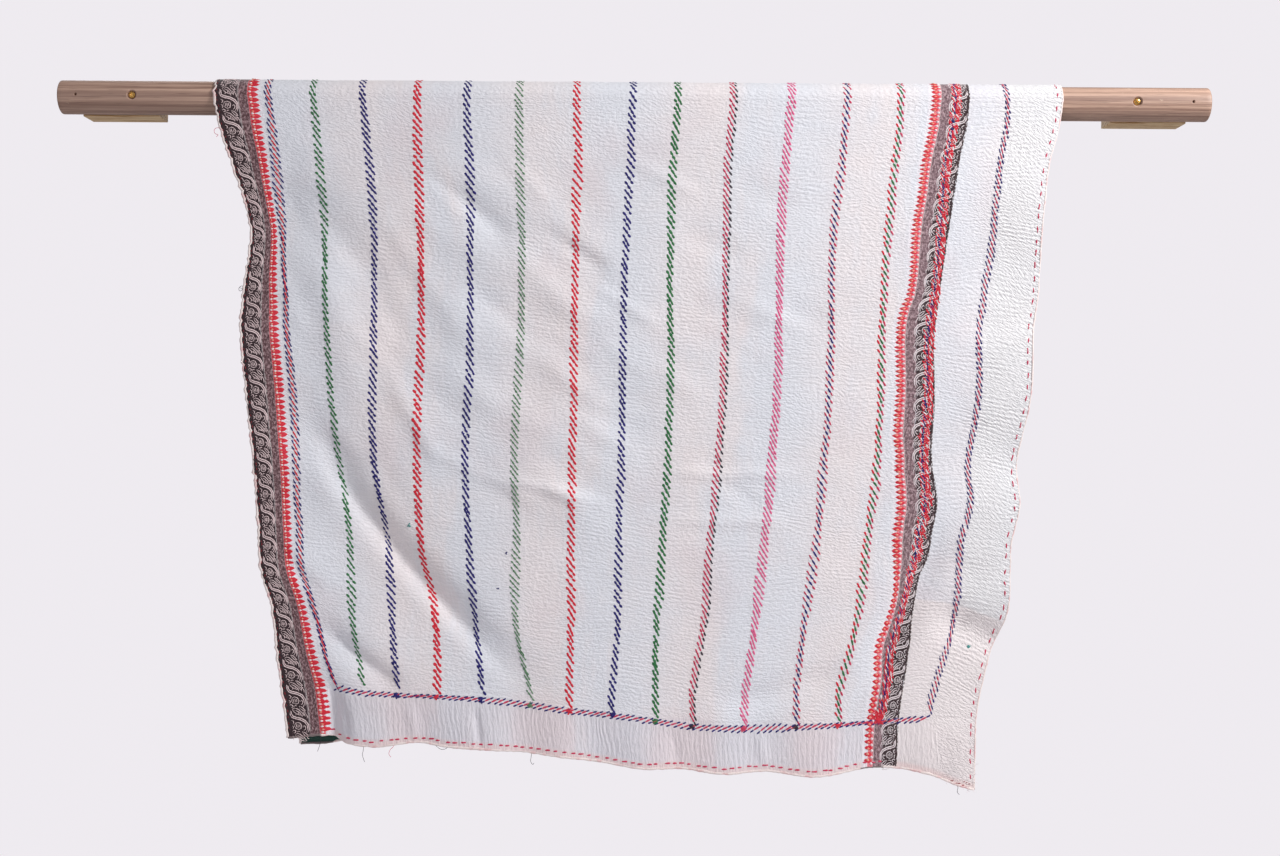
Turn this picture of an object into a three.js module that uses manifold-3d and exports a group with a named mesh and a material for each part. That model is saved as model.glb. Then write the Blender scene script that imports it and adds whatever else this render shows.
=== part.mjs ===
// A kantha quilt folded about in half over a round wooden rail, which two blocks and two screws hold to a wall.
// Millimetres, +X to the right, +Z up. The wall is the plane y = 0 and the room lies towards -Y.
// The origin is on the wall, midway between the two blocks, at the height of the rail's axis.
import * as THREE from 'three';
import { mergeVertices } from 'three/addons/utils/BufferGeometryUtils.js';
import Module from 'manifold-3d';

const wasm = await Module();
wasm.setup();

// ---- driving sizes ----
const FIT = 0.3; // running gap between two pieces that touch

const RAIL_LENGTH = 1716;
const RAIL_RADIUS = 25;
const RAIL_EASE = 2; // rounded-over ends
const RAIL_SIDES = 48;
const RAIL_STANDOFF = 60; // wall to the rail's axis

const BLOCK_LENGTH = 115;
const BLOCK_HEIGHT = 50;
const BLOCK_DEPTH = 44; // wall to the block's front, so the rail sits 9 mm deep in its groove
const BLOCK_OFFSET = 775; // origin to a block's middle

const SCREW_OFFSET = 747; // origin to a screw
const SCREW_SIDES = 24;
const HEAD_RADIUS = 5.2;
const HEAD_HEIGHT = 2.6;
const SHANK_RADIUS = 2.2;
const TIP_RADIUS = 1.2;
const TIP_LENGTH = 5;
const TIP_CLEAR_OF_WALL = 1;
const RECESS_RADIUS = 7; // the counterbore that sinks the head
const RECESS_DEPTH = 4;

const PILOT_OFFSET = 830; // a small unused hole near each end of the rail
const PILOT_RADIUS = 1.8;
const PILOT_DEPTH = 8;

const CLOTH_THICK = 2.4;
const CLOTH_ON_RAIL = 0.5; // rail to the cloth's reverse, at its facets about 0.3
const COLUMNS = 38;
const FRONT_ROWS = 28;
const TURN_ROWS = 16;
const BACK_ROWS = 15;

const TURN_RADIUS = RAIL_RADIUS + CLOTH_ON_RAIL + CLOTH_THICK / 2;

// ---- the quilt's two falls, as sections across it ----
// drop: below the rail's axis. left, right: where the side edges hang. leftOut, rightOut: how far each edge
// stands away from the plumb plane of its fall, towards the room in front and towards the wall behind.
const FRONT_SECTIONS = [
  { drop: 0, left: -623, right: 635, leftOut: 0, rightOut: 0 },
  { drop: 40, left: -616, right: 629, leftOut: 0, rightOut: 0 },
  { drop: 95, left: -599, right: 615, leftOut: -4, rightOut: 2 },
  { drop: 160, left: -578, right: 607, leftOut: -10, rightOut: 5 },
  { drop: 205, left: -570, right: 604, leftOut: -12, rightOut: 3 },
  { drop: 290, left: -578, right: 601, leftOut: -2, rightOut: -5 },
  { drop: 350, left: -580, right: 593, leftOut: 6, rightOut: 3 },
  { drop: 440, left: -572, right: 589, leftOut: 3, rightOut: 6 },
  { drop: 540, left: -560, right: 571, leftOut: 7, rightOut: -6 },
  { drop: 600, left: -557, right: 574, leftOut: -3, rightOut: 4 },
  { drop: 655, left: -552, right: 562, leftOut: 2, rightOut: 5 },
  { drop: 700, left: -548, right: 560, leftOut: 6, rightOut: 8 },
  { drop: 760, left: -532, right: 557, leftOut: 1, rightOut: 2 },
  { drop: 830, left: -525, right: 532, leftOut: -4, rightOut: -7 },
  { drop: 910, left: -515, right: 514, leftOut: -7, rightOut: -3 },
  { drop: 990, left: -506, right: 510, leftOut: -9, rightOut: 6 },
];
const BACK_SECTIONS = [
  { drop: 0, left: -623, right: 635, leftOut: 0, rightOut: 0 },
  { drop: 100, left: -606, right: 620, leftOut: 2, rightOut: -2 },
  { drop: 200, left: -570, right: 606, leftOut: 5, rightOut: -4 },
  { drop: 300, left: -576, right: 598, leftOut: 0, rightOut: 0 },
  { drop: 420, left: -574, right: 586, leftOut: -4, rightOut: 5 },
  { drop: 650, left: -556, right: 560, leftOut: 5, rightOut: -3 },
  { drop: 850, left: -522, right: 528, leftOut: -3, rightOut: 5 },
  { drop: 975, left: -500, right: 500, leftOut: 3, rightOut: 0 },
];

// ---- the two hems, from the left edge (0) to the right edge (1) ----
const FRONT_HEM = [
  { across: 0, drop: 955, out: -4 },
  { across: 0.065, drop: 950, out: -5 },
  { across: 0.085, drop: 959, out: 2 },
  { across: 0.13, drop: 964, out: 3 },
  { across: 0.19, drop: 958, out: -3 },
  { across: 0.235, drop: 964, out: 1 },
  { across: 0.3, drop: 968, out: 3 },
  { across: 0.345, drop: 971, out: -3 },
  { across: 0.4, drop: 978, out: 2 },
  { across: 0.45, drop: 984, out: -3 },
  { across: 0.515, drop: 994, out: 3 },
  { across: 0.575, drop: 994, out: -2 },
  { across: 0.635, drop: 1001, out: 3 },
  { across: 0.695, drop: 997, out: -3 },
  { across: 0.77, drop: 1004, out: 3 },
  { across: 0.845, drop: 991, out: -3 },
  { across: 0.89, drop: 991, out: -3 },
  { across: 0.935, drop: 999, out: 3 },
  { across: 0.975, drop: 1014, out: 3 },
  { across: 1, drop: 1022, out: -4 },
];
const BACK_HEM = [
  { across: 0, drop: 972, out: 0 },
  { across: 0.045, drop: 970, out: 3 },
  { across: 0.1, drop: 957, out: -5 },
  { across: 0.3, drop: 955, out: 6 },
  { across: 0.5, drop: 966, out: -6 },
  { across: 0.72, drop: 978, out: 6 },
  { across: 1, drop: 974, out: -4 },
];

// ---- the main folds: each is a soft trough (out below 0) or ridge along a bent line of three points ----
const FRONT_FOLDS = [
  { fold: 'long trough', x0: -510, drop0: 412, xm: -362, dropm: 650, x1: -92, drop1: 915, half: 24, out: -10.5 },
  { fold: 'broad hollow below', x0: -545, drop0: 470, xm: -398, dropm: 690, x1: -135, drop1: 945, half: 54, out: -6.5 },
  { fold: 'corner trough', x0: -478, drop0: 766, xm: -405, dropm: 835, x1: -325, drop1: 892, half: 18, out: -7 },
  { fold: 'upper left dip', x0: -560, drop0: 120, xm: -455, dropm: 205, x1: -350, drop1: 330, half: 38, out: -7 },
  { fold: 'left ridge', x0: -470, drop0: 190, xm: -435, dropm: 340, x1: -385, drop1: 500, half: 34, out: 6 },
  { fold: 'step beside border', x0: -440, drop0: 855, xm: -437, dropm: 930, x1: -433, drop1: 1000, half: 13, out: -9 },
  { fold: 'slant 1', x0: -330, drop0: 60, xm: -170, dropm: 155, x1: 10, drop1: 260, half: 27, out: 2.4 },
  { fold: 'slant 2', x0: -350, drop0: 160, xm: -175, dropm: 262, x1: 20, drop1: 370, half: 27, out: 3 },
  { fold: 'slant 3', x0: -345, drop0: 270, xm: -170, dropm: 370, x1: 25, drop1: 478, half: 25, out: 2.6 },
  { fold: 'slant 4', x0: -330, drop0: 385, xm: -160, dropm: 478, x1: 30, drop1: 580, half: 27, out: 3 },
  { fold: 'slant 5', x0: -280, drop0: 510, xm: -140, dropm: 590, x1: 20, drop1: 680, half: 27, out: 2.4 },
  { fold: 'right dip high', x0: 650, drop0: 320, xm: 575, dropm: 330, x1: 470, drop1: 338, half: 24, out: -4 },
  { fold: 'right dip middle', x0: 630, drop0: 690, xm: 545, dropm: 700, x1: 450, drop1: 694, half: 24, out: -4 },
  { fold: 'right dip low', x0: 600, drop0: 850, xm: 525, dropm: 795, x1: 430, drop1: 765, half: 27, out: -9 },
  { fold: 'kink at right border', x0: 470, drop0: 620, xm: 410, dropm: 750, x1: 350, drop1: 900, half: 25, out: -8 },
  { fold: 'low trough', x0: 330, drop0: 832, xm: 230, dropm: 876, x1: 120, drop1: 905, half: 19, out: -6 },
];
const BACK_FOLDS = [
  { fold: 'left flute', x0: -390, drop0: 120, xm: -370, dropm: 520, x1: -330, drop1: 960, half: 70, out: 8 },
  { fold: 'inner flute', x0: -150, drop0: 200, xm: -160, dropm: 600, x1: -150, drop1: 970, half: 60, out: -6 },
  { fold: 'middle flute', x0: 90, drop0: 150, xm: 100, dropm: 560, x1: 80, drop1: 970, half: 75, out: 7 },
  { fold: 'right flute', x0: 350, drop0: 260, xm: 330, dropm: 640, x1: 300, drop1: 970, half: 60, out: -6 },
];
const EDGE_REACH = 80; // how far in from a side edge its own swing is felt
const HEM_REACH = 75; // how far up from a hem its waves are felt
const FOLD_STEPS = 16;
const FOLD_TAPER = 0.3; // the share of a fold's length over which it rises at one end and fades at the other
const HANGS_FREE = [45, 130]; // between these drops the folds fade in below the rail

const MATERIALS = {
  quilt: { color: 0xd3d3da, roughness: 0.92, metalness: 0 },
  rail: { color: 0x7d6355, roughness: 0.6, metalness: 0 },
  block: { color: 0xc9a877, roughness: 0.75, metalness: 0 },
  screw: { color: 0xc9a24a, roughness: 0.35, metalness: 0.9 },
};

// ---- small helpers ----

// The value of a column where its key is at, on a smooth curve through the table's rows.
function readTable(rows, key, column, at) {
  const last = rows.length - 1;
  if (at <= rows[0][key]) return rows[0][column];
  if (at >= rows[last][key]) return rows[last][column];
  let i = 0;
  while (rows[i + 1][key] < at) i += 1;
  const slope = (k) => {
    const a = rows[Math.max(k - 1, 0)];
    const b = rows[Math.min(k + 1, last)];
    return (b[column] - a[column]) / (b[key] - a[key]);
  };
  const span = rows[i + 1][key] - rows[i][key];
  const t = (at - rows[i][key]) / span;
  const from = rows[i][column] * (1 + 2 * t) * (1 - t) ** 2 + slope(i) * span * t * (1 - t) ** 2;
  const to = rows[i + 1][column] * (3 - 2 * t) * t ** 2 - slope(i + 1) * span * (1 - t) * t ** 2;
  return from + to;
}

function bell(distance, half) {
  return Math.exp(-((distance / half) ** 2));
}

// What one fold adds at a place on the fall: a bell across the fold's line, dying out towards its ends.
function foldAt(fold, x, drop) {
  const bendX = 2 * fold.xm - (fold.x0 + fold.x1) / 2;
  const bendDrop = 2 * fold.dropm - (fold.drop0 + fold.drop1) / 2;
  let nearest = Infinity;
  let where = 0;
  for (let k = 0; k < FOLD_STEPS; k += 1) {
    const t0 = k / FOLD_STEPS;
    const t1 = (k + 1) / FOLD_STEPS;
    const on = (t, a, bend, b) => a * (1 - t) ** 2 + 2 * bend * t * (1 - t) + b * t ** 2;
    const ax = on(t0, fold.x0, bendX, fold.x1);
    const az = on(t0, fold.drop0, bendDrop, fold.drop1);
    const dx = on(t1, fold.x0, bendX, fold.x1) - ax;
    const dz = on(t1, fold.drop0, bendDrop, fold.drop1) - az;
    const along = ((x - ax) * dx + (drop - az) * dz) / (dx * dx + dz * dz);
    const t = THREE.MathUtils.clamp(along, 0, 1);
    const distance = Math.hypot(x - ax - t * dx, drop - az - t * dz);
    if (distance < nearest) {
      nearest = distance;
      where = t0 + t / FOLD_STEPS;
    }
  }
  const rise = THREE.MathUtils.smoothstep(where, 0, FOLD_TAPER);
  const fade = THREE.MathUtils.smoothstep(1 - where, 0, FOLD_TAPER);
  return fold.out * bell(nearest, fold.half) * rise * fade;
}

// How far a fall stands off its plumb plane, away from the rail's axis.
function reliefAt(sections, hem, folds, across, x, drop) {
  const left = readTable(sections, 'drop', 'left', drop);
  const right = readTable(sections, 'drop', 'right', drop);
  const atLeft = readTable(sections, 'drop', 'leftOut', drop) * bell(x - left, EDGE_REACH);
  const atRight = readTable(sections, 'drop', 'rightOut', drop) * bell(right - x, EDGE_REACH);
  const aboveHem = readTable(hem, 'across', 'drop', across) - drop;
  const atHem = readTable(hem, 'across', 'out', across) * bell(aboveHem, HEM_REACH);
  const folded = folds.reduce((sum, fold) => sum + foldAt(fold, x, drop), 0);
  const free = THREE.MathUtils.smoothstep(drop, HANGS_FREE[0], HANGS_FREE[1]);
  return (atLeft + atRight + atHem + folded) * free;
}

// ---- the quilt ----

// The middle of the cloth. across: 0 at the left edge, 1 at the right. along: 0 at the front hem, 1 where the
// front fall leaves the rail, 2 where the back fall does, 3 at the back hem.
function clothAt(across, along) {
  if (along > 1 && along < 2) {
    const angle = (2 - along) * Math.PI;
    const top = FRONT_SECTIONS[0];
    const x = THREE.MathUtils.lerp(top.left, top.right, across);
    return new THREE.Vector3(x, -RAIL_STANDOFF + TURN_RADIUS * Math.cos(angle), TURN_RADIUS * Math.sin(angle));
  }
  const front = along <= 1;
  const sections = front ? FRONT_SECTIONS : BACK_SECTIONS;
  const hem = front ? FRONT_HEM : BACK_HEM;
  const fall = front ? 1 - along : along - 2;
  const drop = fall * readTable(hem, 'across', 'drop', across);
  const left = readTable(sections, 'drop', 'left', drop);
  const right = readTable(sections, 'drop', 'right', drop);
  const x = THREE.MathUtils.lerp(left, right, across);
  const off = TURN_RADIUS + reliefAt(sections, hem, front ? FRONT_FOLDS : BACK_FOLDS, across, x, drop);
  return new THREE.Vector3(x, -RAIL_STANDOFF + (front ? -off : off), -drop);
}

// The way the cloth's outer side faces, from its neighbours.
function clothNormal(across, along) {
  const step = 1e-3;
  const a = clothAt(Math.max(across - step, 0), along);
  const b = clothAt(Math.min(across + step, 1), along);
  const c = clothAt(across, Math.max(along - step, 0));
  const d = clothAt(across, Math.min(along + step, 3));
  return b.sub(a).cross(d.sub(c)).normalize();
}

function rowStops() {
  const stops = [];
  for (let k = 0; k < FRONT_ROWS; k += 1) stops.push(k / FRONT_ROWS);
  for (let k = 0; k < TURN_ROWS; k += 1) stops.push(1 + k / TURN_ROWS);
  for (let k = 0; k <= BACK_ROWS; k += 1) stops.push(2 + k / BACK_ROWS);
  return stops;
}

// Columns stand closer together towards the side edges.
function columnStops() {
  const stops = [];
  for (let k = 0; k <= COLUMNS; k += 1) {
    const t = k / COLUMNS;
    stops.push(t - (0.35 * Math.sin(2 * Math.PI * t)) / (2 * Math.PI));
  }
  return stops;
}

// One closed sheet: its outer side, its reverse and the four narrow edges between them.
function quiltGeometry() {
  const columns = columnStops();
  const rows = rowStops();
  const wide = columns.length;
  const tall = rows.length;
  const positions = [];
  for (const side of [0.5, -0.5]) {
    for (const along of rows) {
      for (const across of columns) {
        const p = clothAt(across, along).addScaledVector(clothNormal(across, along), side * CLOTH_THICK);
        positions.push(p.x, p.y, p.z);
      }
    }
  }
  const outer = (i, j) => j * wide + i;
  const inner = (i, j) => (tall + j) * wide + i;
  const index = [];
  const quad = (a, b, c, d) => index.push(a, b, c, a, c, d);
  for (let j = 0; j + 1 < tall; j += 1) {
    for (let i = 0; i + 1 < wide; i += 1) {
      // The crease between a quad's two triangles runs the way the folds do, down towards the middle.
      if (columns[i] < 0.5) {
        quad(outer(i + 1, j), outer(i + 1, j + 1), outer(i, j + 1), outer(i, j));
        quad(inner(i + 1, j), inner(i, j), inner(i, j + 1), inner(i + 1, j + 1));
      } else {
        quad(outer(i, j), outer(i + 1, j), outer(i + 1, j + 1), outer(i, j + 1));
        quad(inner(i, j), inner(i, j + 1), inner(i + 1, j + 1), inner(i + 1, j));
      }
    }
    quad(outer(0, j), outer(0, j + 1), inner(0, j + 1), inner(0, j));
    quad(outer(wide - 1, j), inner(wide - 1, j), inner(wide - 1, j + 1), outer(wide - 1, j + 1));
  }
  for (let i = 0; i + 1 < wide; i += 1) {
    quad(outer(i, 0), inner(i, 0), inner(i + 1, 0), outer(i + 1, 0));
    quad(outer(i, tall - 1), outer(i + 1, tall - 1), inner(i + 1, tall - 1), inner(i, tall - 1));
  }
  const geometry = new THREE.BufferGeometry();
  geometry.setAttribute('position', new THREE.Float32BufferAttribute(positions, 3));
  geometry.setIndex(index);
  return geometry;
}

// ---- solids that are cut ----

function solidFrom(geometry) {
  const bare = geometry.clone();
  bare.deleteAttribute('normal');
  bare.deleteAttribute('uv');
  const merged = mergeVertices(bare, 1e-4);
  const corners = [];
  const index = merged.index.array;
  for (let k = 0; k < index.length; k += 3) {
    const [a, b, c] = [index[k], index[k + 1], index[k + 2]];
    if (a !== b && b !== c && a !== c) corners.push(a, b, c);
  }
  const vertProperties = new Float32Array(merged.attributes.position.array);
  return new wasm.Manifold(new wasm.Mesh({ numProp: 3, vertProperties, triVerts: new Uint32Array(corners) }));
}

function geometryFrom(solid) {
  const mesh = solid.getMesh();
  const geometry = new THREE.BufferGeometry();
  geometry.setAttribute('position', new THREE.Float32BufferAttribute(mesh.vertProperties, 3));
  geometry.setIndex(Array.from(mesh.triVerts));
  return geometry;
}

function without(geometry, cutters) {
  return geometryFrom(cutters.reduce((solid, cutter) => solid.subtract(solidFrom(cutter)), solidFrom(geometry)));
}

// A round bar along Y, from one depth to another.
function barAlongY(radius, x, fromY, toY) {
  const bar = new THREE.CylinderGeometry(radius, radius, toY - fromY, SCREW_SIDES);
  return bar.translate(0, (fromY + toY) / 2, 0).translate(x, 0, 0);
}

// ---- rail, blocks and screws ----

const RAIL_FRONT = -RAIL_STANDOFF - RAIL_RADIUS;

function railGeometry() {
  const half = RAIL_LENGTH / 2;
  const profile = [
    new THREE.Vector2(0, -half),
    new THREE.Vector2(RAIL_RADIUS - RAIL_EASE, -half),
    new THREE.Vector2(RAIL_RADIUS, -half + RAIL_EASE),
    new THREE.Vector2(RAIL_RADIUS, half - RAIL_EASE),
    new THREE.Vector2(RAIL_RADIUS - RAIL_EASE, half),
    new THREE.Vector2(0, half),
  ];
  const rail = new THREE.LatheGeometry(profile, RAIL_SIDES).rotateZ(-Math.PI / 2).translate(0, -RAIL_STANDOFF, 0);
  const cutters = [];
  for (const side of [-1, 1]) {
    const x = side * SCREW_OFFSET;
    const pilot = side * PILOT_OFFSET;
    cutters.push(barAlongY(SHANK_RADIUS + FIT, x, RAIL_FRONT - 5, -RAIL_STANDOFF + RAIL_RADIUS + 5));
    cutters.push(barAlongY(RECESS_RADIUS, x, RAIL_FRONT - 5, RAIL_FRONT + RECESS_DEPTH));
    cutters.push(barAlongY(PILOT_RADIUS, pilot, RAIL_FRONT - 5, RAIL_FRONT + PILOT_DEPTH));
  }
  return without(rail, cutters);
}

// A block seen from its end, with the groove that the rail lies in, drawn out to its length.
function blockGeometry(side) {
  const half = BLOCK_HEIGHT / 2;
  const groove = RAIL_RADIUS + FIT;
  const reach = Math.acos((RAIL_STANDOFF - BLOCK_DEPTH) / groove);
  const end = new THREE.Shape();
  end.moveTo(0, -half);
  end.lineTo(0, half);
  end.lineTo(-BLOCK_DEPTH, half);
  end.absarc(-RAIL_STANDOFF, 0, groove, reach, -reach, true);
  end.lineTo(-BLOCK_DEPTH, -half);
  end.closePath();
  const block = new THREE.ExtrudeGeometry(end, { depth: BLOCK_LENGTH, bevelEnabled: false, curveSegments: 12 });
  block.applyMatrix4(new THREE.Matrix4().makeBasis(
    new THREE.Vector3(0, 1, 0),
    new THREE.Vector3(0, 0, 1),
    new THREE.Vector3(1, 0, 0),
  ));
  block.translate(side * BLOCK_OFFSET - BLOCK_LENGTH / 2, 0, 0);
  return without(block, [barAlongY(SHANK_RADIUS + FIT, side * SCREW_OFFSET, -RAIL_STANDOFF, 5)]);
}

// A domed wood screw, turned about its own axis with its tip towards the wall.
function screwGeometry(side) {
  const headBase = RAIL_FRONT + RECESS_DEPTH - FIT;
  const tip = -TIP_CLEAR_OF_WALL;
  const profile = [new THREE.Vector2(0, headBase - HEAD_HEIGHT)];
  for (const share of [0.45, 0.75, 0.95]) {
    profile.push(new THREE.Vector2(HEAD_RADIUS * share, headBase - HEAD_HEIGHT * Math.sqrt(1 - share ** 2)));
  }
  profile.push(new THREE.Vector2(HEAD_RADIUS, headBase));
  profile.push(new THREE.Vector2(SHANK_RADIUS, headBase));
  profile.push(new THREE.Vector2(SHANK_RADIUS, tip - TIP_LENGTH));
  profile.push(new THREE.Vector2(TIP_RADIUS, tip));
  profile.push(new THREE.Vector2(0, tip));
  return new THREE.LatheGeometry(profile, SCREW_SIDES).translate(side * SCREW_OFFSET, 0, 0);
}

// ---- the scene graph ----

function addPiece(group, name, geometry, finish) {
  const mesh = new THREE.Mesh(geometry, new THREE.MeshStandardMaterial(MATERIALS[finish]));
  mesh.name = name;
  group.add(mesh);
}

const group = new THREE.Group();
addPiece(group, 'quilt', quiltGeometry(), 'quilt');
addPiece(group, 'rail', railGeometry(), 'rail');
for (const [name, side] of [['left', -1], ['right', 1]]) {
  addPiece(group, `block_${name}`, blockGeometry(side), 'block');
  addPiece(group, `screw_${name}`, screwGeometry(side), 'screw');
}

export default group;
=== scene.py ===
# %% [markdown]
# # A kantha quilt over a wall rail
#
# A kantha quilt is old cloth, laid in a few layers and held together by hand, with row after row of small
# running stitches. Here one hangs folded about in half over a round wooden rail. This lesson dresses the
# plain solids of the frame: the quilt gets its puckered face, its borders and its coloured lines, the rail
# its grain.
#
# The frame comes first, because every measure below sits on it.

# %% Load the frame
import math

import bmesh
import bpy
import numpy as np
from mathutils import Matrix, Vector


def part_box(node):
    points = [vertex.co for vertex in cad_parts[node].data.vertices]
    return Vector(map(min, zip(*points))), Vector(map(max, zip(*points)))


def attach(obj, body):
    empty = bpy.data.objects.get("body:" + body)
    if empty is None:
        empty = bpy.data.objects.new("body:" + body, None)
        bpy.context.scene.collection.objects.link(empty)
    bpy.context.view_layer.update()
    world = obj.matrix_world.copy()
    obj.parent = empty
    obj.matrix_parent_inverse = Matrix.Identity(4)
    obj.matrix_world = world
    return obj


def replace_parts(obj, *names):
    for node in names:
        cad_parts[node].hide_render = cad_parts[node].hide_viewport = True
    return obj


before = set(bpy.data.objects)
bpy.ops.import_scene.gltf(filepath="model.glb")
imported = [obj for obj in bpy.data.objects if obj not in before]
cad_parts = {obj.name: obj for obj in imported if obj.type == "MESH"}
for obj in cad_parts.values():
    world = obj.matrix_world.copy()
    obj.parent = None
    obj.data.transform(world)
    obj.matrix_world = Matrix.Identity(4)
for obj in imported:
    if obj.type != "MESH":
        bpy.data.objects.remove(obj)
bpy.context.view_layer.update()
MM = 0.001

# %% [markdown]
# ## The camera
#
# The quilt is seen square on, from about its middle height, by a lens a little longer than a normal one. The
# camera leans by less than half a degree, so the rail runs slightly downhill to the right. It is made before
# anything else, so that every later step can be looked at through it.

# %% Camera
CAMERA_AT = (0.0115, -2.400, -0.490)
CAMERA_LENS = 43.875
CAMERA_LEAN = 0.0068

camera = bpy.data.objects.new("camera", bpy.data.cameras.new("camera"))
bpy.context.scene.collection.objects.link(camera)
camera.data.lens = CAMERA_LENS
camera.data.sensor_width = 36.0
camera.matrix_world = (
    Matrix.Translation(CAMERA_AT)
    @ Matrix.Rotation(math.radians(90), 4, "X")
    @ Matrix.Rotation(CAMERA_LEAN, 4, "Z")
)
bpy.context.scene.camera = camera
print("camera at", CAMERA_AT, "lens", CAMERA_LENS)

# %% [markdown]
# ## How the cloth hangs
#
# The solid in the frame was worked out from short tables: how wide each fall is at a few heights, how far
# down each hem comes, and where the soft troughs and ridges run. The same tables are repeated here, in
# millimetres, so that the fine sheet lies exactly in the folds of its solid. A cloth simulation could find
# folds of its own, but not these ones, so the sheet is placed as the tables give it.

# %% The rail and the cloth, in millimetres
RAIL_LENGTH, RAIL_RADIUS, RAIL_EASE, RAIL_STANDOFF = 1716, 25, 2, 60
CLOTH_THICK = 2.4
TURN_RADIUS = 26.7
TURN_LENGTH = math.pi * TURN_RADIUS
# how far in from an edge or a hem its own curl reaches, and over which drops the folds set in below the rail
EDGE_REACH, HEM_REACH = 80, 75
HANGS_FREE = (45, 130)

# drop, where the left and the right edge are, how far each stands out
FRONT_SECTIONS = np.array([
    (0, -623, 635, 0, 0), (40, -616, 629, 0, 0), (95, -599, 615, -4, 2), (160, -578, 607, -10, 5),
    (205, -570, 604, -12, 3), (290, -578, 601, -2, -5), (350, -580, 593, 6, 3), (440, -572, 589, 3, 6),
    (540, -560, 571, 7, -6), (600, -557, 574, -3, 4), (655, -552, 562, 2, 5), (700, -548, 560, 6, 8),
    (760, -532, 557, 1, 2), (830, -525, 532, -4, -7), (910, -515, 514, -7, -3), (990, -506, 510, -9, 6),
])
BACK_SECTIONS = np.array([
    (0, -623, 635, 0, 0), (100, -606, 620, 2, -2), (200, -570, 606, 5, -4), (300, -576, 598, 0, 0),
    (420, -574, 586, -4, 5), (650, -556, 560, 5, -3), (850, -522, 528, -3, 5), (975, -500, 500, 3, 0),
])
# across, drop, how far it stands out
FRONT_HEM = np.array([
    (0, 955, -4), (0.065, 950, -5), (0.085, 959, 2), (0.13, 964, 3), (0.19, 958, -3), (0.235, 964, 1),
    (0.3, 968, 3), (0.345, 971, -3), (0.4, 978, 2), (0.45, 984, -3), (0.515, 994, 3), (0.575, 994, -2),
    (0.635, 1001, 3), (0.695, 997, -3), (0.77, 1004, 3), (0.845, 991, -3), (0.89, 991, -3), (0.935, 999, 3),
    (0.975, 1014, 3), (1, 1022, -4),
])
BACK_HEM = np.array([
    (0, 972, 0), (0.045, 970, 3), (0.1, 957, -5), (0.3, 955, 6), (0.5, 966, -6), (0.72, 978, 6), (1, 974, -4),
])
TOP_WIDTH = FRONT_SECTIONS[0, 2] - FRONT_SECTIONS[0, 1]
print("over the rail the quilt is", TOP_WIDTH, "mm wide")

# %% The folds of each fall
# x and drop at the start, the middle and the end, then half the width and how far out it stands
FRONT_FOLDS = np.array([
    (-510, 412, -362, 650, -92, 915, 24, -10.5),    # long trough from the left border to the hem
    (-545, 470, -398, 690, -135, 945, 54, -6.5),    # broad hollow below
    (-478, 766, -405, 835, -325, 892, 18, -7),      # corner trough
    (-560, 120, -455, 205, -350, 330, 38, -7),      # upper left dip
    (-470, 190, -435, 340, -385, 500, 34, 6),       # left ridge
    (-440, 855, -437, 930, -433, 1000, 13, -9),     # step beside the border
    (-330, 60, -170, 155, 10, 260, 27, 2.4),        # five slanting waves
    (-350, 160, -175, 262, 20, 370, 27, 3),
    (-345, 270, -170, 370, 25, 478, 25, 2.6),
    (-330, 385, -160, 478, 30, 580, 27, 3),
    (-280, 510, -140, 590, 20, 680, 27, 2.4),
    (650, 320, 575, 330, 470, 338, 24, -4),         # dips in from the right edge
    (630, 690, 545, 700, 450, 694, 24, -4),
    (600, 850, 525, 795, 430, 765, 27, -9),
    (470, 620, 410, 750, 350, 900, 25, -8),         # kink along the right border
    (330, 832, 230, 876, 120, 905, 19, -6),         # low trough
])
# small sharp creases, too fine for the solid
FRONT_CREASES = np.array([
    (-466, 520, -350, 677, -142, 898, 12, -5),      # the long trough's sharp upper side
    (-455, 790, -400, 835, -345, 874, 8, -2.5),     # and the corner's
    (-205, 566, -120, 582, -20, 612, 10, 3.5),      # old fold marks across the middle
    (40, 556, 140, 558, 262, 554, 10, 2.6),
    (40, 626, 150, 628, 240, 624, 11, 2.4),
    (-330, 505, -250, 548, -150, 590, 12, 2),
    (-540, 640, -500, 700, -455, 742, 9, -3),       # beside the left border
    (-425, 900, -420, 930, -418, 965, 7, -3),       # upright pinches above the hem
    (-232, 905, -226, 935, -222, 972, 6, -3.5),
    (-330, 895, -322, 930, -318, 962, 9, 2.5),
    (60, 935, 66, 960, 68, 996, 9, -2),
    (190, 935, 196, 965, 200, 1000, 9, 2),
])
BACK_FOLDS = np.array([
    (-390, 120, -370, 520, -330, 960, 70, 8), (-150, 200, -160, 600, -150, 970, 60, -6),
    (90, 150, 100, 560, 80, 970, 75, 7), (350, 260, 330, 640, 300, 970, 60, -6),
])
print("folds in front:", len(FRONT_FOLDS), "behind:", len(BACK_FOLDS), "fine creases:", len(FRONT_CREASES))

# %% Where the cloth drags
def slanting_creases(count, seed):
    """Faint slanting ridges and dips that fan out from the rail's left end, where the cloth drags."""
    pick = np.random.default_rng(seed)
    x, drop = pick.uniform(-520, 260, count), pick.uniform(70, 640, count)
    steep = np.radians(np.interp(x, [-520, 260], [62, 16]) + pick.normal(0, 7, count))
    long = pick.uniform(90, 220, count)
    run, fall = long * np.cos(steep) / 2, long * np.sin(steep) / 2
    out = pick.uniform(0.9, 2.2, count) * pick.choice([-1, 1], count)
    half = pick.uniform(10, 22, count)
    bowed = x + pick.normal(0, 4, count)
    return np.stack([x - run, drop - fall, bowed, drop, x + run, drop + fall, half, out], -1)


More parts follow.
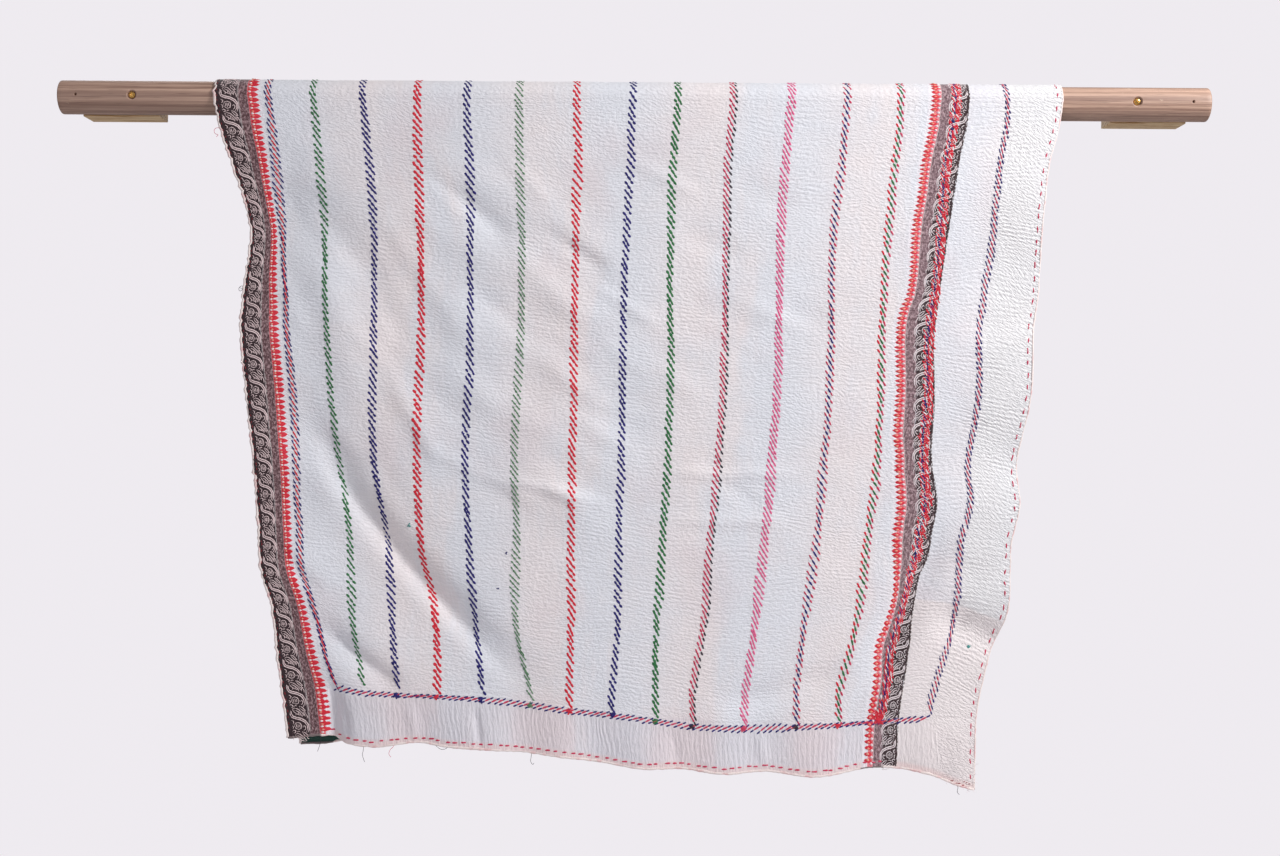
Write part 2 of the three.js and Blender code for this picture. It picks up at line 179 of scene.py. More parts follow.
FRONT_RELIEF = np.concatenate([FRONT_FOLDS, FRONT_CREASES, slanting_creases(64, 17)])
print("folds, creases and drag marks in front:", len(FRONT_RELIEF))


# %% Reading the tables
def read(rows, column, at):
    """The value of one column at each place, on a smooth curve through the rows."""
    places, values = rows[:, 0], rows[:, column]
    at = np.clip(at, places[0], places[-1])
    row = np.clip(np.searchsorted(places, at, side="left") - 1, 0, len(places) - 2)
    before = np.maximum(np.arange(len(places)) - 1, 0)
    after = np.minimum(np.arange(len(places)) + 1, len(places) - 1)
    slopes = (values[after] - values[before]) / (places[after] - places[before])
    span = places[row + 1] - places[row]
    part = (at - places[row]) / span
    return (
        values[row] * (1 + 2 * part) * (1 - part) ** 2
        + slopes[row] * span * part * (1 - part) ** 2
        + values[row + 1] * (3 - 2 * part) * part ** 2
        - slopes[row + 1] * span * (1 - part) * part ** 2
    )


def ramp(value, low, high):
    """0 up to low, 1 from high, and a soft rise between them."""
    part = np.clip((value - low) / (high - low), 0, 1)
    return part * part * (3 - 2 * part)


def bell(distance, half):
    """1 at no distance, and softly down to 0 past a few times half."""
    return np.exp(-((distance / half) ** 2))


print("300 mm down, the left edge is at x =", read(FRONT_SECTIONS, 1, 300.0).round(1))

# %% What the folds do to a fall
FOLD_TAPER, FOLD_STEPS = 0.3, 16


def fold_relief(fold, x, drop):
    """How far one fold moves the cloth: a soft trough or ridge along a bowed line, fading at its ends."""
    start, middle, end, half, out = fold[0:2], fold[2:4], fold[4:6], fold[6], fold[7]
    bend = 2 * middle - (start + end) / 2
    share = np.linspace(0, 1, FOLD_STEPS + 1)[:, None]
    bowed = start * (1 - share) ** 2 + 2 * bend * share * (1 - share) + end * share ** 2
    moved = np.zeros(x.shape)
    reach = 3 * half
    low, high = bowed.min(0) - reach, bowed.max(0) + reach
    near = (x > low[0]) & (x < high[0]) & (drop > low[1]) & (drop < high[1])
    near_x, near_drop = x[near], drop[near]
    best = np.full(near_x.shape, np.inf)
    where = np.zeros(near_x.shape)
    for step in range(FOLD_STEPS):
        (from_x, from_drop), (run, fall) = bowed[step], bowed[step + 1] - bowed[step]
        right, below = near_x - from_x, near_drop - from_drop
        part = np.clip((right * run + below * fall) / (run * run + fall * fall), 0, 1)
        gap = (right - part * run) ** 2 + (below - part * fall) ** 2
        closer = gap < best
        best[closer] = gap[closer]
        where[closer] = ((step + part) / FOLD_STEPS)[closer]
    fade = ramp(where, 0, FOLD_TAPER) * ramp(1 - where, 0, FOLD_TAPER)
    moved[near] = out * bell(np.sqrt(best), half) * fade
    return moved


def fall_relief(sections, hem, folds, across, drop):
    """How far a fall stands out from flat at each place: its edges, its hem and its folds."""
    left, right = read(sections, 1, drop), read(sections, 2, drop)
    x = left + (right - left) * across
    total = read(sections, 3, drop) * bell(x - left, EDGE_REACH)
    total += read(sections, 4, drop) * bell(right - x, EDGE_REACH)
    total += read(hem, 2, across) * bell(read(hem, 1, across) - drop, HEM_REACH)
    for fold in folds:
        total += fold_relief(fold, x, drop)
    return x, total * ramp(drop, *HANGS_FREE)


# %% [markdown]
# Any place on the quilt is named by two numbers. `across` goes from 0 at the left edge to 1 at the right one.
# `down` is the way along the cloth in millimetres from where it leaves the rail: down the front it grows,
# over the rail it is a little under 0, and from there down the back it gets more and more negative. One
# function turns the two into a point, and another leans a normal on it.

# %% A point and a normal anywhere on the quilt
def hang(across, down):
    """The middle of the cloth's thickness, in millimetres, at each pair of places."""
    across, down = np.broadcast_arrays(np.asarray(across, float), np.asarray(down, float))
    point = np.empty(across.shape + (3,))
    front, back = down >= 0, down <= -TURN_LENGTH
    turn = ~(front | back)
    for side, sections, hem, folds, mask in (
        (-1, FRONT_SECTIONS, FRONT_HEM, FRONT_RELIEF, front),
        (1, BACK_SECTIONS, BACK_HEM, BACK_FOLDS, back),
    ):
        drop = down[mask] if side < 0 else -TURN_LENGTH - down[mask]
        x, out = fall_relief(sections, hem, folds, across[mask], drop)
        point[mask] = np.stack([x, -RAIL_STANDOFF + side * (TURN_RADIUS + out), -drop], -1)
    angle = np.pi + down[turn] / TURN_RADIUS
    first, last = FRONT_SECTIONS[0, 1:3]
    point[turn] = np.stack([
        first + (last - first) * across[turn],
        -RAIL_STANDOFF + TURN_RADIUS * np.cos(angle),
        TURN_RADIUS * np.sin(angle),
    ], -1)
    return point


def unit(vectors):
    """The same directions, each with a length of 1."""
    return vectors / np.maximum(np.linalg.norm(vectors, axis=-1, keepdims=True), 1e-12)


def hang_with_normal(across, down):
    """The points, and the direction straight out of the cloth's face at each."""
    point = hang(across, down)
    sideways = hang(np.asarray(across) + 0.001, down) - point
    upward = hang(across, np.asarray(down) - 1.0) - point
    return point, unit(np.cross(sideways, upward))


print("at the rail's front", hang(0.5, 0.0).round(1), "at the front hem", hang(0.5, 998.0).round(1))


# %% The cloth's width, and the unevenness of handwork
def hang_width(down):
    """The width of the cloth at each height, in millimetres."""
    drop = np.where(down >= 0, down, -TURN_LENGTH - down)
    front = read(FRONT_SECTIONS, 2, drop) - read(FRONT_SECTIONS, 1, drop)
    back = read(BACK_SECTIONS, 2, drop) - read(BACK_SECTIONS, 1, drop)
    return np.where(down >= 0, front, np.where(down <= -TURN_LENGTH, back, TOP_WIDTH))


def drift(across, down, size, seed):
    """Soft unevenness, mostly between -1 and 1: crossing waves of about this size, in millimetres."""
    pick = np.random.default_rng(seed)
    x = np.asarray(across) * TOP_WIDTH
    total = 0
    for _ in range(9):
        way, start, stretch = pick.uniform(0, 2 * np.pi), pick.uniform(0, 2 * np.pi), pick.uniform(0.7, 1.6)
        total = total + np.sin((x * np.cos(way) + down * np.sin(way)) * 2 * np.pi / (size * stretch) + start)
    return total / 3


print("300 mm down, the quilt is", hang_width(300.0).round(1), "mm wide")

# %% [markdown]
# ## Where the pattern runs
#
# The two sewn-on borders, the coloured lines and the extra strip at the right all run from the front hem over
# the rail to the back hem. Hand-sewn lines wander, so each is a short table of places across, at a few
# heights. Inside a border, a place is counted in the border's own flat millimetres, so that its pattern keeps
# its size.

# %% The guides of the pattern
# down, across
LEFT_LINE = np.array([
    (-16, 0.0628), (24, 0.0636), (52, 0.0612), (96, 0.0553), (144, 0.0451), (187, 0.0412), (237, 0.0444),
    (311, 0.0558), (357, 0.0588), (406, 0.0601), (560, 0.0543), (692, 0.0534), (772, 0.0583), (819, 0.0659),
    (875, 0.0785),
])
BORDER_START = np.array([
    (-20, 0.8460), (69, 0.8453), (140, 0.8425), (189, 0.8369), (254, 0.8365), (289, 0.8340), (317, 0.8272),
    (398, 0.8280), (494, 0.8317), (530, 0.8394), (602, 0.8395), (710, 0.8454), (764, 0.8390), (809, 0.8349),
    (862, 0.8439), (923, 0.8424), (989, 0.8401),
])
BORDER_END = np.array([
    (-20, 0.8898), (105, 0.8894), (189, 0.8830), (289, 0.8750), (398, 0.8756), (447, 0.8784), (494, 0.8827),
    (566, 0.8905), (638, 0.8928), (674, 0.8930), (710, 0.8804), (764, 0.8731), (809, 0.8820), (862, 0.8873),
    (989, 0.8870),
])
RIGHT_LINE = np.array([
    (-20, 0.9330), (69, 0.9395), (140, 0.9403), (219, 0.9379), (289, 0.9317), (398, 0.9339), (494, 0.9357),
    (566, 0.9369), (638, 0.9341), (710, 0.9328), (764, 0.9300), (809, 0.9351), (862, 0.9335), (893, 0.9307),
    (923, 0.9317),
])
# across, down: the line along the front hem
HEM_LINE = np.array([
    (0.081, 879), (0.129, 887), (0.225, 891), (0.313, 897), (0.409, 910), (0.471, 916), (0.537, 925),
    (0.587, 932), (0.652, 935), (0.71, 934), (0.794, 929), (0.866, 923), (0.93, 918),
])
LEFT_BORDER_WIDE = 76        # the left border's width, from the edge to the middle of the first line
RIGHT_BORDER_WIDE = 56
HEM_LINE_ABOVE = 73          # on the back, the line along the hem runs this far above it
HEM_LINE_ENDS = (0.0785, 0.932)


# %% From the guides to places on the cloth
def guide(rows, down):
    """How far across a sewn line is at each height, with a slow wander where it goes on over the back."""
    wander = 0.0022 * drift(0, np.asarray(down), 420, int(rows[0, 1] * 1e4)) * ramp(-np.asarray(down), 0, 200)
    return read(rows, 1, down) + wander


def left_border(across, down):
    """How far into the left border a place is, in the border's own flat millimetres."""
    return across / guide(LEFT_LINE, down) * LEFT_BORDER_WIDE


def left_place(offset, down):
    """The way back: from the left border's millimetres to a place across."""
    return offset / LEFT_BORDER_WIDE * guide(LEFT_LINE, down)


def right_border(across, down):
    """The same for the right border, from where its petals start."""
    start = guide(BORDER_START, down)
    return (across - start) / (guide(BORDER_END, down) - start) * RIGHT_BORDER_WIDE


def right_place(offset, down):
    """And back again."""
    start = guide(BORDER_START, down)
    return start + offset / RIGHT_BORDER_WIDE * (guide(BORDER_END, down) - start)


def hem_at(across, side):
    """The way down to the hem, along the cloth: positive on the front, negative on the back."""
    return read(FRONT_HEM, 1, across) if side > 0 else -TURN_LENGTH - read(BACK_HEM, 1, across)


def hem_line_at(across, side):
    """The way down to the line that is sewn along the hem."""
    if side > 0:
        return read(HEM_LINE, 1, across)
    return hem_at(across, side) + HEM_LINE_ABOVE + 2.0 * drift(across, 0, 160, 30)


print("the front hem's middle is", hem_at(0.5, 1).round(1), "mm down, its line", hem_line_at(0.5, 1).round(1))

# %% [markdown]
# ## Mesh helpers
#
# Everything on the quilt is either a sheet of many small faces or a great number of short threads. Both are
# worked out with arrays and handed to Blender in one go, which is far quicker than adding one piece at a
# time.


def make_piece(name, points, faces, finish):
    """A mesh object from points in millimetres, riding on the one body of the frame."""
    mesh = bpy.data.meshes.new(name)
    mesh.from_pydata((np.asarray(points).reshape(-1, 3) * MM).tolist(), [], faces)
    mesh.polygons.foreach_set("use_smooth", [True] * len(mesh.polygons))
    mesh.materials.append(finish)
    piece = bpy.data.objects.new(name, mesh)
    bpy.context.scene.collection.objects.link(piece)
    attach(piece, "root")
    triangles = sum(len(face) - 2 for face in faces)
    print(f"{name}: {len(mesh.vertices)} points, {triangles} triangles")
    return piece


def add_measure(piece, name, values):
    """A number kept at every point of a piece, for its finish to read."""
    layer = piece.data.attributes.new(name, "FLOAT", "POINT")
    layer.data.foreach_set("value", np.asarray(values, np.float32).ravel())


def add_map(piece, name, across_m, along_m):
    """A flat map of a piece, in metres, for its finish to read."""
    layer = piece.data.uv_layers.new(name=name)
    corners = np.empty(len(piece.data.loops), np.int32)
    piece.data.loops.foreach_get("vertex_index", corners)
    places = np.stack([np.ravel(across_m), np.ravel(along_m)], -1)[corners]
    layer.data.foreach_set("uv", places.astype(np.float32).ravel())


def grid_faces(rows, columns, first=0, flip=False):
    """Four-sided faces between the points of a grid that is stored row by row."""
    corner = first + np.arange(rows * columns).reshape(rows, columns)
    ring = [corner[:-1, :-1], corner[1:, :-1], corner[1:, 1:], corner[:-1, 1:]]
    if flip:
        ring.reverse()
    return np.stack(ring, -1).reshape(-1, 4).tolist()


def tube_faces(rings, sides, first=0, flip=False, closed=True):
    """Four-sided faces round a tube that is stored ring by ring, and its two ends."""
    corner = first + np.arange(rings * sides).reshape(rings, sides)
    over = np.roll(corner, -1, axis=1)
    ring = [corner[:-1], corner[1:], over[1:], over[:-1]]
    if flip:
        ring[1], ring[3] = ring[3], ring[1]
    faces = np.stack(ring, -1).reshape(-1, 4).tolist()
    return faces + [corner[0].tolist(), corner[-1][::-1].tolist()] if closed else faces


# %% [markdown]
# ## Finishes
#
# A finish is a small net of nodes. To keep the sums readable, a socket is wrapped so that `+`, `-` and `*`
# lay the Math nodes. Colours are given as they look on a screen, from 0 to 255, and turned into light here.

# %% A socket that does sums
class Tone:
    """A socket of a finish on which Python's own signs lay Math nodes."""

    def __init__(self, socket):
        self.socket, self.tree = socket, socket.id_data

    def through(self, operation, *others):
        """One Math node, with this socket and up to two more values in it."""
        node = self.tree.nodes.new("ShaderNodeMath")
        node.operation = operation
        for place, value in zip(node.inputs, (self, *others)):
            join(place, value)
        return Tone(node.outputs[0])

    def __add__(self, other):
        return self.through("ADD", other)

    def __sub__(self, other):
        return self.through("SUBTRACT", other)

    def __mul__(self, other):
        return self.through("MULTIPLY", other)

    def wave(self, length):
        """A smooth wave from 0 to 1 with this length."""
        return (self * (2 * math.pi / length)).through("SINE") * 0.5 + 0.5

    def rise(self, low, high):
        """0 under low, 1 over high, softly."""
        node = self.tree.nodes.new("ShaderNodeMapRange")
        node.interpolation_type = "SMOOTHSTEP"
        for place, value in zip(node.inputs, (self, low, high)):
            join(place, value)
        return Tone(node.outputs[0])

    def within(self, low, high, soft):
        """1 between low and high, and 0 outside."""
        return self.rise(low - soft, low + soft) * self.rise(high + soft, high - soft)


def join(place, value):
    """Feed a socket with a tone, or set it to a number or colour."""
    if isinstance(value, Tone):
        place.id_data.links.new(value.socket, place)
    else:
        place.default_value = value


# %% Starting a finish, and its places and patterns
def new_finish(name, **settings):
    """An empty finish: its node tree, and its shader with the even settings made on it."""
    finish = bpy.data.materials.new(name)
    finish.use_nodes = True
    shader = finish.node_tree.nodes["Principled BSDF"]
    for key, value in settings.items():
        shader.inputs[key.replace("_", " ")].default_value = value
    return finish, finish.node_tree, shader


def measure(tree, name):
    """The number that add_measure kept on the piece."""
    node = tree.nodes.new("ShaderNodeAttribute")
    node.attribute_name = name
    return Tone(node.outputs["Fac"])


def flat_map(tree, name):
    """The flat map that add_map laid on the piece."""
    node = tree.nodes.new("ShaderNodeUVMap")
    node.uv_map = name
    return node.outputs["UV"]


def stretched(tree, socket, scale):
    """A map pulled out or pressed together, each way by its own number."""
    node = tree.nodes.new("ShaderNodeVectorMath")
    node.operation = "MULTIPLY"
    tree.links.new(socket, node.inputs[0])
    node.inputs[1].default_value = scale
    return node.outputs[0]


def parts(tree, socket):
    """The ways of a map or place, as tones."""
    node = tree.nodes.new("ShaderNodeSeparateXYZ")
    tree.links.new(socket, node.inputs[0])
    return [Tone(out) for out in node.outputs]


def pair(tree, first, second):
    """Two tones as the two ways of a map."""
    node = tree.nodes.new("ShaderNodeCombineXYZ")
    join(node.inputs[0], first)
    join(node.inputs[1], second)
    return node.outputs[0]


def clouds(tree, socket, scale, detail, rough, bent=0.0):
    """Soft random light and dark, from about 0.3 to 0.7."""
    node = tree.nodes.new("ShaderNodeTexNoise")
    tree.links.new(socket, node.inputs["Vector"])
    for key, value in (("Scale", scale), ("Detail", detail), ("Roughness", rough), ("Distortion", bent)):
        node.inputs[key].default_value = value
    return Tone(node.outputs[0])


# %% Colours and low relief
def dye(red, green, blue):
    """A colour as it looks on a screen, as the light that a shader works with."""
    def light(part):
        return ((part / 255 + 0.055) / 1.055) ** 2.4 if part > 10 else part / 3295

    return light(red), light(green), light(blue), 1


def paint(tree, under, over, cover):
    """One colour over another, as far as cover says."""
    node = tree.nodes.new("ShaderNodeMix")
    node.data_type = "RGBA"
    for place, value in ((node.inputs[0], cover), (node.inputs[6], under), (node.inputs[7], over)):
        join(place, value)
    return Tone(node.outputs[2])


def shaded(tree, colour, amount):
    """A colour made lighter or darker by a tone round 1."""
    node = tree.nodes.new("ShaderNodeMix")
    node.data_type, node.blend_type = "RGBA", "MULTIPLY"
    node.inputs[0].default_value = 1.0
    grey = tree.nodes.new("ShaderNodeCombineColor")
    for place in grey.inputs:
        join(place, amount)
    join(node.inputs[6], colour)
    tree.links.new(grey.outputs[0], node.inputs[7])
    return Tone(node.outputs[2])


def raise_by(tree, shader, height, depth):
    """Low relief of this depth in metres, where height goes from 0 to 1."""
    node = tree.nodes.new("ShaderNodeBump")
    node.inputs["Distance"].default_value = depth
    join(node.inputs["Height"], height)
    tree.links.new(node.outputs[0], shader.inputs["Normal"])


# %% [markdown]
# ## The cloth's finish
#
# The face is washed-out cotton with broad, blurred stripes of pale blue and pinkish cream, whose threads
# differ a little in tone. Two strips of an old sari border are sewn on, brown-black with a heathered band
# beside it. The finish reads four numbers kept on the sheet: how far across, how far from the left edge, how
# far from the right border's start, and how far above the hem. So every band keeps its width wherever the
# cloth narrows.

# %% Where the bands run
# across, the stripes' repeat and where their first bluish one is
STRIPE_REPEAT, STRIPE_START = 0.197, 0.082
# millimetres from the left edge
SCROLL_LEFT = (6, 32)
HEATHER_LEFT = (32.2, 46.5)
WHITE_LEFT = (46.5, 66)
RED_LEFT = (46.5, 54)
# millimetres from where the right border starts
WHITE_RIGHT = (-5, 14.5)
RED_RIGHT = (5, 14.4)
HEATHER_RIGHT = (14.5, 30)
SCROLL_RIGHT = (30, 56)
print("the right border's dark band is", SCROLL_RIGHT[1] - SCROLL_RIGHT[0], "mm wide")

# %% The face's washed stripes
def washed_stripes(tree, plain, across):
    """Blurred stripes and worn patches, with the clouds and threads that the rest of the finish shares."""
    blur = clouds(tree, stretched(tree, plain, (1, 0.25, 1)), 14, 3, 0.6) - 0.5
    stripes = ((across - STRIPE_START + blur * 0.10) * (2 * math.pi / STRIPE_REPEAT)).through("COSINE")
    bands = clouds(tree, stretched(tree, plain, (3, 14, 1)), 1, 3, 0.6) - 0.5
    washed = stripes * 0.55 + blur * 2.4 + bands * 1.3
    pinkish, bluish, worn = dye(233, 226, 227), dye(223, 226, 233), dye(222, 212, 216)
    colour = paint(tree, pinkish, bluish, washed.rise(-1.1, 0.8))
    patches = clouds(tree, plain, 5, 3, 0.55)
    colour = paint(tree, colour, worn, patches.rise(0.52, 0.74) * 0.5)
    down_threads = clouds(tree, stretched(tree, plain, (620, 22, 1)), 1, 2, 0.6)
    cross_threads = clouds(tree, stretched(tree, plain, (20, 560, 1)), 1, 2, 0.6)
    threads = down_threads + cross_threads
    return shaded(tree, colour, threads * 0.14 + 0.86), stripes, blur, bands, threads


# %% The face's borders
def border_bands(tree, colour, plain, from_left, from_band):
    """Both old sari borders painted over the face: brown-black, heathered, white and red bands."""
    def band(side, start, end):
        """1 inside one band, whose ends are given in millimetres."""
        return side.within(start * MM, end * MM, 0.0004)

    specks = clouds(tree, plain, 360, 3, 0.75)
    brown = paint(tree, dye(44, 24, 30), dye(120, 94, 100), specks.rise(0.58, 0.72))
    flecks = clouds(tree, stretched(tree, plain, (330, 210, 1)), 1, 3, 0.7)
    heather = paint(tree, dye(82, 52, 56), dye(178, 148, 152), flecks.rise(0.42, 0.68))
    pale_heather = paint(tree, dye(102, 76, 82), dye(182, 156, 162), flecks.rise(0.40, 0.66))
    colour = paint(tree, colour, brown, band(from_left, -10, SCROLL_LEFT[1]))
    colour = paint(tree, colour, heather, band(from_left, *HEATHER_LEFT))
    colour = paint(tree, colour, pale_heather, band(from_band, *HEATHER_RIGHT))
    rough_edge = from_band + (clouds(tree, plain, 60, 2, 0.6) - 0.5) * 0.006
    worn_brown = paint(tree, dye(46, 28, 32), dye(150, 128, 132), specks.rise(0.53, 0.67))
    colour = paint(tree, colour, worn_brown, band(rough_edge, *SCROLL_RIGHT))
    white = band(from_left, *WHITE_LEFT) + band(from_band, *WHITE_RIGHT)
    colour = paint(tree, colour, dye(234, 230, 236), white * 0.7)
    colour = paint(tree, colour, dye(214, 44, 56), band(from_left, *RED_LEFT) * 0.9)
    return paint(tree, colour, dye(220, 84, 100), band(from_band, *RED_RIGHT) * 0.8)


# %% The face's low relief
def quilted_dents(tree, plain, across, strip, low, threads):
    """Short dents between the running stitches: level ones in the field, upright ones along the hem."""
    weave_across, weave_down, _ = parts(tree, plain)
    weave = weave_across.wave(0.0011) * weave_down.wave(0.0011) + threads * 0.7
    slow = clouds(tree, plain, 5, 2, 0.5) - 0.5
    level = weave_down + weave_across * 0.10 + slow * 0.06 + across.rise(0.905, 1.02) * 0.034
    field_dents = clouds(tree, pair(tree, weave_across * 150, level * 340), 1, 2.5, 0.6)
    strip_dents = clouds(tree, pair(tree, weave_across * 250, weave_down * 80), 1, 2.5, 0.6)
    upright = low * across.rise(0.965, 0.93)
    dents = field_dents * (upright * -1.0 + 1.0) + strip_dents * upright * 0.9
    corner = low * across.rise(0.93, 0.965)
    return dents.rise(0.34, 0.66) * (strip * 0.5 + corner * 0.8 + 1.0) + weave * 0.16


# %% Finish: the quilt's face
def quilt_face_finish():
    """The whole face: washed stripes, sewn-on strips, borders and the relief of its stitches."""
    finish, tree, shader = new_finish("washed_cotton", Roughness=0.88, Sheen_Weight=0.25, Sheen_Roughness=0.5)
    across, from_left = measure(tree, "across"), measure(tree, "from_left")
    from_band, above_hem = measure(tree, "from_band"), measure(tree, "above_hem")
    plain = flat_map(tree, "cloth")
    colour, stripes, blur, bands, threads = washed_stripes(tree, plain, across)

    # the strip at the right, the one along the hem, the plain patch in their corner, and the hem itself
    strip = across.rise(0.925, 0.95)
    colour = paint(tree, colour, dye(230, 231, 233), strip * 0.8)
    low = (above_hem + blur * 0.03).within(-0.02, 0.072, 0.004)
    # the strip along the hem is painted darker: partly its own greyer cloth, partly painted shade where it
    # turns away near the hem
    colour = paint(tree, colour, dye(208, 202, 209), low * 0.45)
    pinked = (above_hem + bands * 0.03).rise(0.11, 0.05) * stripes.rise(0.1, -0.6) * 0.25
    colour = paint(tree, colour, dye(222, 202, 206), pinked)
    patch = (above_hem + blur * 0.006).rise(0.252, 0.246) * from_band.rise(0.0558, 0.0568)
    colour = paint(tree, colour, dye(231, 223, 223), patch * 0.85)
    near_edge = above_hem.rise(0.013, 0.004) * 0.7
    colour = paint(tree, colour, dye(230, 206, 204), near_edge)

    join(shader.inputs["Base Color"], border_bands(tree, colour, plain, from_left, from_band))
    raise_by(tree, shader, quilted_dents(tree, plain, across, strip, low, threads), 0.00055)
    return finish


# %% Finish: the quilt's reverse
def quilt_reverse_finish():
    """The lining side: one old dark-green cloth, rubbed paler along its rows of stitches."""
    settings = {"Roughness": 0.9, "Sheen_Weight": 0.2, "Sheen_Roughness": 0.5}
    finish, tree, shader = new_finish("dark_green_cotton", **settings)
    plain = flat_map(tree, "cloth")
    patches = clouds(tree, plain, 7, 4, 0.6)
    threads = clouds(tree, stretched(tree, plain, (600, 30, 1)), 1, 2, 0.6)
    colour = paint(tree, dye(24, 56, 48), dye(38, 78, 66), patches.rise(0.35, 0.7))
    rows = (parts(tree, plain)[1] + (patches - 0.5) * 0.02).wave(0.0065)
    colour = paint(tree, colour, dye(74, 108, 96), rows.rise(0.85, 1.0) * threads.rise(0.5, 0.7) * 0.6)
    join(shader.inputs["Base Color"], shaded(tree, colour, threads * 0.5 + 0.75))
    raise_by(tree, shader, rows + threads * 0.4, 0.0004)
    return finish


COTTON_FACE = quilt_face_finish()
COTTON_REVERSE = quilt_reverse_finish()
print("finishes:", COTTON_FACE.name, COTTON_REVERSE.name)

# %% [markdown]
# ## The quilted face
#
# Rows of running stitch pull the layers together, so the face stands in small ripples, about six and a half
# millimetres from row to row. They run level across the field and upright in the strip along the hem. The
# ripples are real shape here: the sheet has four rows of points to each ripple, and those rows wander as a
# sewer's hand does. The face is two sheets that meet behind the rail, one for each fall, so that neither
# grows too heavy.

# %% How the face ripples and puckers
COLUMNS = 140
RIPPLES = 140
STRIP_ROWS = 9
TURN_RIPPLES = 13
RIPPLE_HEIGHT = 0.27
STRIP_RIPPLE_HEIGHT = 0.42
PUCKER_HEIGHT = 0.3
RIPPLE_BEAT = np.array([0, 1, 0, -1])


def ripple_height(across, down):
    """How high the ripples stand at each place: uneven, low in the stiff borders, high in the right strip."""
    from_left, from_band = left_border(across, down), right_border(across, down)
    stiff = 0.5 * ramp(-from_left, -62, -56) + 0.4 * ramp(from_band, -2, 2) * ramp(-from_band, -58, -54)
    strip = 0.9 * ramp(across, 0.89, 0.93)
    uneven = 0.75 + 0.45 * drift(across, down, 27, 4) + 0.4 * drift(across, down, 90, 5)
    return RIPPLE_HEIGHT * np.clip(uneven, 0.0, 1.8) * (1 - stiff + strip)


def pucker(across, down):
    """The soft unevenness that is larger than a ripple, and lies flatter over the rail."""
    free = ramp(np.abs(down + TURN_LENGTH / 2), TURN_LENGTH / 2, TURN_LENGTH / 2 + 60)
    wide = 0.55 * drift(across, down, 62, 11) + 0.8 * drift(across, down, 150, 12)
    return wide * (0.25 + 0.75 * free)


def row_wander(across, down):
    """How far a row of stitches strays from level; in the lower right corner the rows slant."""
    slant = 34 * ramp(across, 0.905, 1.02) * ramp(down, 420, 900)
    near = 1.1 * drift(across, down, 26, 20) + 1.7 * drift(across, down, 70, 21)
    return near + 8 * drift(across, down, 330, 22) + slant


# %% The places of the field and of the strip along the hem
def field_places(side):
    """Rows down to the hem's line, after the half turn for the front, and how far each place is lifted."""
    columns = np.linspace(0, 1, COLUMNS + 1)
    start = 0.0 if side > 0 else -TURN_LENGTH
    share = np.arange(4 * RIPPLES)[:, None] / (4 * RIPPLES)
    level = start + share * (hem_line_at(columns, side) - start)
    fade = ramp(share, 0, 0.05) * ramp(1 - share, 0, 0.035)
    down = level + row_wander(columns, level) * fade
    beat = RIPPLE_BEAT[np.arange(4 * RIPPLES) % 4]
    if side > 0:
        turn = np.linspace(-TURN_LENGTH, 0, 4 * TURN_RIPPLES + 1)[:-1, None] + 0 * columns
        down = np.concatenate([turn, down])
        beat = np.concatenate([RIPPLE_BEAT[np.arange(len(turn)) % 4], beat])
    across = np.broadcast_to(columns, down.shape)
    return across, down, beat[:, None] * ripple_height(across, down)


def strip_places(side):
    """The same from the hem's line to the hem, with four times the columns for its upright ripples."""
    fine = np.linspace(0, 1, 4 * COLUMNS + 1)
    fall = np.linspace(0, 1, STRIP_ROWS + 1)[:, None]
    down = hem_line_at(fine, side) * (1 - fall) + hem_at(fine, side) * fall
    across = fine + 0.0022 * drift(fine, down, 60, 41) * np.sin(np.pi * fine) ** 0.2
    across[:, [0, -1]] = 0, 1
    across[0] = fine
    lift = RIPPLE_BEAT[np.arange(4 * COLUMNS + 1) % 4] * np.sin(np.pi * fall) ** 0.6
    lift = lift * STRIP_RIPPLE_HEIGHT * (0.8 + 0.35 * drift(across, down, 80, 42))
    return across, down, lift * (1 - 0.85 * ramp(across, 0.93, 0.965))


# %% The face, a sheet for each fall
FLAT_WIDTH = 1.27            # metres, as sewn


def quilt_face(name, side):
    """One fall's face: the half turn for the front one, the field, and the strip along the hem."""
    field, strip = field_places(side), strip_places(side)
    across, down, lift = (np.concatenate([high.ravel(), low.ravel()]) for high, low in zip(field, strip))
    point, normal = hang_with_normal(across, down)
    point = point + normal * (CLOTH_THICK / 2 + lift + PUCKER_HEIGHT * pucker(across, down))[:, None]

    field_rows = len(field[0])
    first = field_rows * (COLUMNS + 1)
    faces = grid_faces(field_rows, COLUMNS + 1, flip=side < 0)
    # between the field and the strip, each face has two corners above and five below
    for column in range(COLUMNS):
        above = (field_rows - 1) * (COLUMNS + 1) + column
        below = first + 4 * column
        seam = [above] + list(range(below, below + 5)) + [above + 1]
        faces.append(seam if side > 0 else seam[::-1])
    faces += grid_faces(STRIP_ROWS + 1, 4 * COLUMNS + 1, first, flip=side < 0)

    piece = make_piece(name, point, faces, COTTON_FACE)
    add_measure(piece, "across", across)
    add_measure(piece, "from_left", left_border(across, down) * MM)
    add_measure(piece, "from_band", right_border(across, down) * MM)
    add_measure(piece, "above_hem", side * (hem_at(across, side) - down) * MM)
    add_map(piece, "cloth", across * FLAT_WIDTH, -down * MM)
    return piece


quilt_face_front = quilt_face("quilt_face_front", 1)
quilt_face_back = quilt_face("quilt_face_back", -1)

# %% [markdown]
# ## The reverse
#
# The other side of the quilt is one dark-green cloth. It shows where the two falls part, from below and from
# the ends, so it is a sheet of its own, a cloth's thickness inside the face.

# %% The reverse
REVERSE_ROWS = 190


